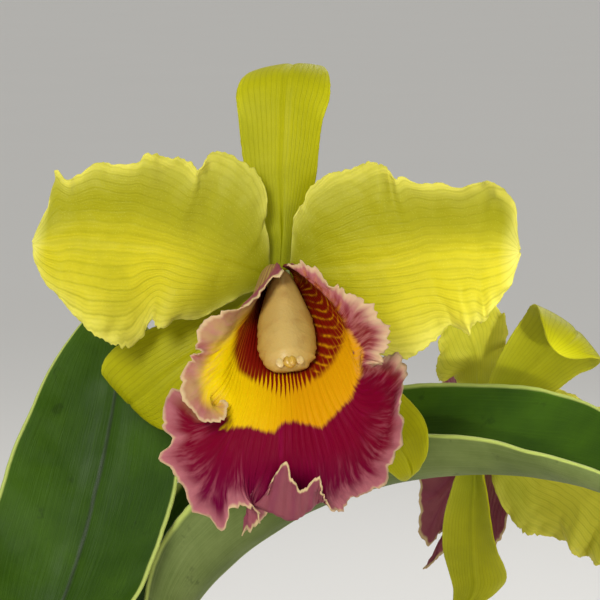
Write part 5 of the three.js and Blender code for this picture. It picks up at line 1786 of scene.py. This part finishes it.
@dataclass(kw_only=True)
class Bloom:
    """A bloom: three sepals, two petals, a lip and a column in its own frame."""

    prefix: str
    placed: Matrix
    finishes: dict[str, Sequence[bpy.types.Material]]
    mirror: float = 1.0
    relax: float = 1.0
    lowered: float = 0.0
    hanging: bool = False
    seed: float = 0.0

    PETAL_SLOPE = 0.62  # a hanging bloom's left petal rises this much for its reach,
    PETAL_REACH = 0.46  # reaches out this much of the main bloom's
    PETAL_WIDTH = 0.58  # at this much of its width,
    BEND_START = 14.0  # and bends back from here outward
    BEND_RADIUS = 45.0
    SWAY_START = -18.0  # its lip hangs to one side from here downward
    LIP_SWAY = 0.5
    LIP_REACH = 0.4
    LIP_STRETCH = 0.1
    LIP_NARROWING = 0.45
    SWAY_EASE = 15.0
    TIP_START = 9.0  # the side sepals' tips curl back from here

    def side(self, p: Vector) -> Vector:
        """Puts a point on the bloom's own side and into the pot's frame."""
        return self.placed @ Vector((self.mirror * p.x, p.y, p.z))

    def eased(self, p: Vector) -> Vector:
        """Flattens a curled sepal tip."""
        back = self.TIP_START + (p.y - self.TIP_START) * self.relax if p.y > self.TIP_START else p.y
        return self.side(Vector((p.x, back, p.z)))

    def raised(self, p: Vector) -> Vector:
        """Sweeps a smaller petal up and bends it back along its length."""
        if not self.hanging:
            return p
        length = self.PETAL_REACH * abs(p.x)
        angle = max(0.0, length - self.BEND_START) / self.BEND_RADIUS
        reach = min(length, self.BEND_START) + self.BEND_RADIUS * math.sin(angle)
        return Vector((math.copysign(reach, p.x), p.y + self.BEND_RADIUS * (1 - math.cos(angle)),
                       self.PETAL_WIDTH * p.z + self.PETAL_SLOPE * reach))

    def swayed(self, p: Vector) -> Vector:
        """Hangs the lip's front lobe narrower, to one side and further down."""
        if not self.hanging:
            return p
        drop = max(0.0, self.SWAY_START - p.z)
        narrowed = p.x * (1 - self.LIP_NARROWING * min(1.0, drop / self.SWAY_EASE))
        return Vector((narrowed + self.LIP_SWAY * drop, p.y + self.LIP_REACH * drop,
                       p.z - self.LIP_STRETCH * drop))

    def organ(self, name: str, outline: Outline, slot: str, seed: float, **shape: float) -> None:
        """Builds a petal or sepal.

        Args:
            name: The organ's name.
            outline: Its outline in the pot's frame.
            slot: Its slot, which also names its finishes.
            seed: Moves its crinkles to another place.
            shape: Fields of the blade.
        """
        Blade(node=f"{self.prefix}_{name}", slot=slot, finishes=self.finishes[slot], outline=outline,
              facing=self.placed.to_3x3() @ FRONT, seed=self.seed + seed, **shape).build()

    def build(self) -> None:
        """Builds the whole bloom."""
        sepal = {"rows": 120, "columns": 44, "thickness": 1.3, "ruffle": 0.35, "ruffle_size": 5.0,
                 "teeth": 0.012, "groove": 0.45, "swell": 0.25, "swell_size": 12.0}
        petal = {"rows": 180, "columns": 72, "thickness": 1.1, "ruffle": 1.3, "ruffle_size": 3.6,
                 "teeth": 0.03, "ruffle_reach": 3.2, "groove": 0.5, "swell": 0.8, "swell_size": 11.0}
        self.organ("dorsal_sepal", DORSAL_SEPAL.reshaped(self.side), "sepal", 1, **sepal)
        left = LEFT_SEPAL.reshaped(lambda p: self.eased(Vector((p.x, p.y, p.z - self.lowered * abs(p.x)))))
        self.organ("side_sepal_1", left, "sepal", 2, **sepal)
        self.organ("side_sepal_2", RIGHT_SEPAL.reshaped(self.eased), "sepal", 3, **sepal)
        self.organ("petal_1", LEFT_PETAL.reshaped(lambda p: self.side(self.raised(p))), "petal", 4, **petal)
        self.organ("petal_2", RIGHT_PETAL.reshaped(self.side), "petal", 5, **petal)
        self.lip()
        flip = Matrix.Diagonal((self.mirror, 1, 1, 1))
        Column(node=f"{self.prefix}_column", slot="column", finishes=self.finishes["column"],
               path=Curve(COLUMN_LINE), radii=COLUMN_WIDTHS, depths=COLUMN_DEPTHS, sides=96, steps=110,
               blunt=0.35, placed=self.placed @ flip).build()

    def lip(self) -> None:
        """Builds the lip."""
        rest = [ring_points(**LIP_BASE), ring_points(**LIP_TUBE),
                *([Vector(p) for p in LIP_RINGS[name]] for name in ("throat", "body", "frill", "margin"))]
        rings = [[self.side(self.swayed(p)) for p in ring] for ring in rest]
        Lip(node=f"{self.prefix}_lip", slot="lip", finishes=self.finishes["lip"], rows=44, columns=460,
            thickness=0.85, facing=self.placed.to_3x3() @ Vector((0, -1, 0.4)), rings=rings, rest=rest,
            seed=self.seed).build()


def ring_points(centre: Point, radius: float, lean: float, count: int = 13) -> list[Vector]:
    """Lays points round an open ring of the lip's tube.

    Args:
        centre: The ring's middle.
        radius: Its radius.
        lean: How far it leans back.
        count: The number of points.

    Returns:
        The points, from the opening's left edge round below to its right edge.
    """
    points = []
    for k in range(count):
        angle = lerp(math.pi / 2 + LIP_OPENING, 5 * math.pi / 2 - LIP_OPENING, k / (count - 1))
        rise = radius * math.sin(angle)
        shift = Vector((radius * math.cos(angle), -rise * math.sin(lean), rise * math.cos(lean)))
        points.append(Vector(centre) + shift)
    return points


SECOND_SHIFT = (63, 92, -44)  # the second bloom's place in the main bloom's frame
SECOND_BACK = Vector((-0.48, -0.77, -0.41))  # where its back looks
SECOND_TOP = Vector((0.49, -0.63, 0.61))  # and roughly where its upper sepal points


def second_place() -> Matrix:
    """Gives the second bloom's frame, lower and turned to the other side.

    Returns:
        The move from that frame to the pot's.
    """
    back = SECOND_BACK.normalized()
    top = (SECOND_TOP - back * SECOND_TOP.dot(back)).normalized()
    axes = Matrix((back.cross(top), back, top)).transposed().to_4x4()
    return BLOOM_PLACE @ Matrix.Translation(SECOND_SHIFT) @ axes


@dataclass
class Spray:
    """The flower stem with its spathe, and the two stalks that carry the blooms."""

    stalk: bpy.types.Material
    sheath: bpy.types.Material

    def build(self) -> None:
        """Builds the stem, the spathe and the stalks."""
        line = Curve([BLOOM_PLACE @ Vector(p) for p in STEM_LINE])
        Stalk(node="flower_stem", slot="stem", finishes=[self.stalk], path=line, nodes=STEM_NODES,
              radii=[share * STEM_RADIUS for share in STEM_TAPER], sides=32, steps=90).build()
        ends = {1: (FIRST_PEDICEL, BLOOM_PLACE), 2: (SECOND_PEDICEL, second_place())}
        for number, (start, bloom) in ends.items():
            points = [BLOOM_PLACE @ Vector(p) for p in start] + [bloom @ Vector(p) for p in OVARY_END]
            Stalk(node=f"pedicel_{number}", slot="stem", finishes=[self.stalk], path=Curve(points),
                  radii=PEDICEL_RADII, sides=36, steps=90, ribs=0.09).build()
        widths = [STEM_RADIUS] * 2
        Sleeve(node="spathe", slot="sheath", finishes=[self.sheath], rows=44, columns=72, thickness=0.5,
               thin=1.0, facing=Vector(), path=line, span=SPATHE_SPAN,
               turns=(SPATHE_GAP, math.tau - SPATHE_GAP), widths=widths, depths=widths, flare=0, torn=0,
               point=6, belly=1.6, clear=1.2, seed=9).build()


@dataclass(frozen=True)
class Lamp:
    """A studio lamp: its place and width in metres, its power, and its angle if it is a beam."""

    name: str
    place: Point
    size: float
    power: float
    aim: Point | None = None  # else the main bloom
    cone: float = 0.0
    soft: float = 0.0  # how far a beam's edge fades inward

    def hang(self, bloom: Vector) -> None:
        """Hangs the lamp.

        Args:
            bloom: The main bloom's middle, in metres.
        """
        data = bpy.data.lights.new(self.name, "SPOT" if self.cone else "AREA")
        data.energy = self.power
        if self.cone:
            data.spot_size, data.spot_blend, data.shadow_soft_size = self.cone, self.soft, self.size
        else:
            data.size = self.size
        lamp = bpy.data.objects.new(self.name, data)
        lamp.location = self.place
        aim = Vector(self.aim) if self.aim else bloom
        lamp.rotation_euler = (aim - Vector(self.place)).to_track_quat("-Z", "Y").to_euler()
        bpy.context.scene.collection.objects.link(lamp)


@dataclass
class Studio:
    """A wide pale floor, soft light and the camera at the picture's viewing angle."""

    floor: bpy.types.Material
    floor_size: float = 160.0
    sky: Colour = rgb("f4f4f2")
    sky_light: float = 0.42
    lamps: Sequence[Lamp] = (
        Lamp("key", (-0.4, -1.0, 0.95), 0.4, 7.4),
        Lamp("fill", (0.65, -1.0, 0.36), 0.6, 3.9),
        Lamp("rim", (0.5, 1.0, 1.1), 0.8, 6.0),
        Lamp("side", (-1.1, 0.2, 0.6), 0.9, 2.0),
        Lamp("beam", (0.28, -0.70, 0.37), 0.03, 25.0, aim=(0.118, 0.075, 0.350), cone=math.radians(5),
             soft=0.8),  # on the second bloom
    )
    sun_power: float = 0.75
    sun_width: float = math.radians(20)
    sun_turn: Point = (math.radians(48), 0, math.radians(-24))
    lens: float = 150.0
    sensor: float = 36.0
    far: float = 500.0  # metres, beyond which nothing is drawn

    def build(self) -> None:
        """Lays the floor, hangs the lamps and sets the camera."""
        bpy.context.scene.view_settings.view_transform = "Standard"
        self.lay_floor()
        world = bpy.data.worlds.new("studio")
        world.use_nodes = True
        sky = next(n for n in world.node_tree.nodes if n.type == "BACKGROUND")
        sky.inputs["Color"].default_value = (*self.sky, 1.0)
        sky.inputs["Strength"].default_value = self.sky_light
        bpy.context.scene.world = world
        bloom = (BLOOM_PLACE @ Vector((VIEW_AIM[0], 0, VIEW_AIM[1]))) * MM
        for lamp in self.lamps:
            lamp.hang(bloom)
        self.sun()
        self.camera()

    def lay_floor(self) -> None:
        """Lays the floor under the pot."""
        bm = bmesh.new()
        bmesh.ops.create_grid(bm, x_segments=1, y_segments=1, size=self.floor_size / 2)
        mesh = bpy.data.meshes.new("floor")
        bm.to_mesh(mesh)
        bm.free()
        mesh.materials.append(self.floor)
        floor = bpy.data.objects.new("floor", mesh)
        bpy.context.scene.collection.objects.link(floor)

    def sun(self) -> None:
        """Adds an even soft light that reaches the far floor too."""
        data = bpy.data.lights.new("even", "SUN")
        data.energy, data.angle = self.sun_power, self.sun_width
        lamp = bpy.data.objects.new("even", data)
        lamp.rotation_euler = self.sun_turn
        bpy.context.scene.collection.objects.link(lamp)

    def camera(self) -> None:
        """Sets the camera on the viewer's place."""
        data = bpy.data.cameras.new("camera")
        data.lens, data.sensor_width, data.clip_end = self.lens, self.sensor, self.far
        camera = bpy.data.objects.new("camera", data)
        camera.location = (BLOOM_PLACE @ Vector((VIEW_AIM[0], -VIEW_DISTANCE, VIEW_AIM[1]))) * MM
        camera.rotation_euler = (math.pi / 2 - BLOOM_TILT, 0, 0)
        bpy.context.scene.collection.objects.link(camera)
        bpy.context.scene.camera = camera


def main() -> None:
    """Builds every sub-assembly in order."""
    logging.basicConfig(level=logging.INFO, format="%(message)s")
    Studio(FloorFinish().make()).build()
    Pot(ClayFinish().make()).build()
    BarkBed(BarkFinish().make()).build()
    sheath = SheathFinish().make()
    Growths(
        bulb=BulbFinish("bulb_skin", rgb("5f7d2c"), rgb("a3ad52")).make(),
        rhizome=BulbFinish("rhizome_skin", rgb("5d6430"), rgb("8a7c4a")).make(),
        sheath=sheath, root=RootFinish().make(),
    ).build()
    # The upper face's rib colour is darker than its green: painted shade in the rib's groove.
    upper = LeafFinish(LeafSide.UPPER, rgb("264104"), rgb("3b5a06"), rgb("1c2f04"), rgb("182803")).make()
    under = LeafFinish(LeafSide.UNDER, rgb("54622c"), rgb("76824a"), rgb("333c1c"), rgb("8a9456"),
                       rough=0.45, gloss=0.03).make()
    Leaves(upper, under).build()
    petal = [
        # The petal face carries painted shade over its upper half.
        TepalFinish("petal_face", rgb("c6ba1c"), rgb("8c8a08"), rgb("8c8a06"), rgb("ddd668"),
                    painted_upper_shade=0.8).make(),
        TepalFinish("petal_back", rgb("bcb630"), rgb("8c9218"), rgb("989c1e"), rgb("ccc44c")).make(),
    ]
    sepal = [
        TepalFinish("sepal_face", rgb("a6a202"), rgb("7e8002"), rgb("888a02"), rgb("bcb810"), veins=22.0,
                    fan=0.3).make(),
        TepalFinish("sepal_back", rgb("a6a412"), rgb("7e840c"), rgb("8a920e"), rgb("b8b42a"), veins=22.0,
                    fan=0.3).make(),
    ]
    column = [ColumnFinish().make(), WaxFinish("anther_cap", rgb("bc942a"), rgb("9c6c18")).make(),
              WaxFinish("column_flap", rgb("cbb070"), rgb("b08a48")).make()]
    finishes = {"petal": petal, "sepal": sepal, "lip": [LipFinish().make(), LipBackFinish().make()],
                "column": column}
    Bloom(prefix="bloom_1", placed=BLOOM_PLACE, finishes=finishes).build()
    Bloom(prefix="bloom_2", placed=second_place(), finishes=finishes, mirror=-1.0, relax=0.3, lowered=0.15,
          hanging=True, seed=11.0).build()
    Spray(StemFinish().make(), sheath).build()
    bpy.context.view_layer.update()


if __name__ == "__main__":
    main()
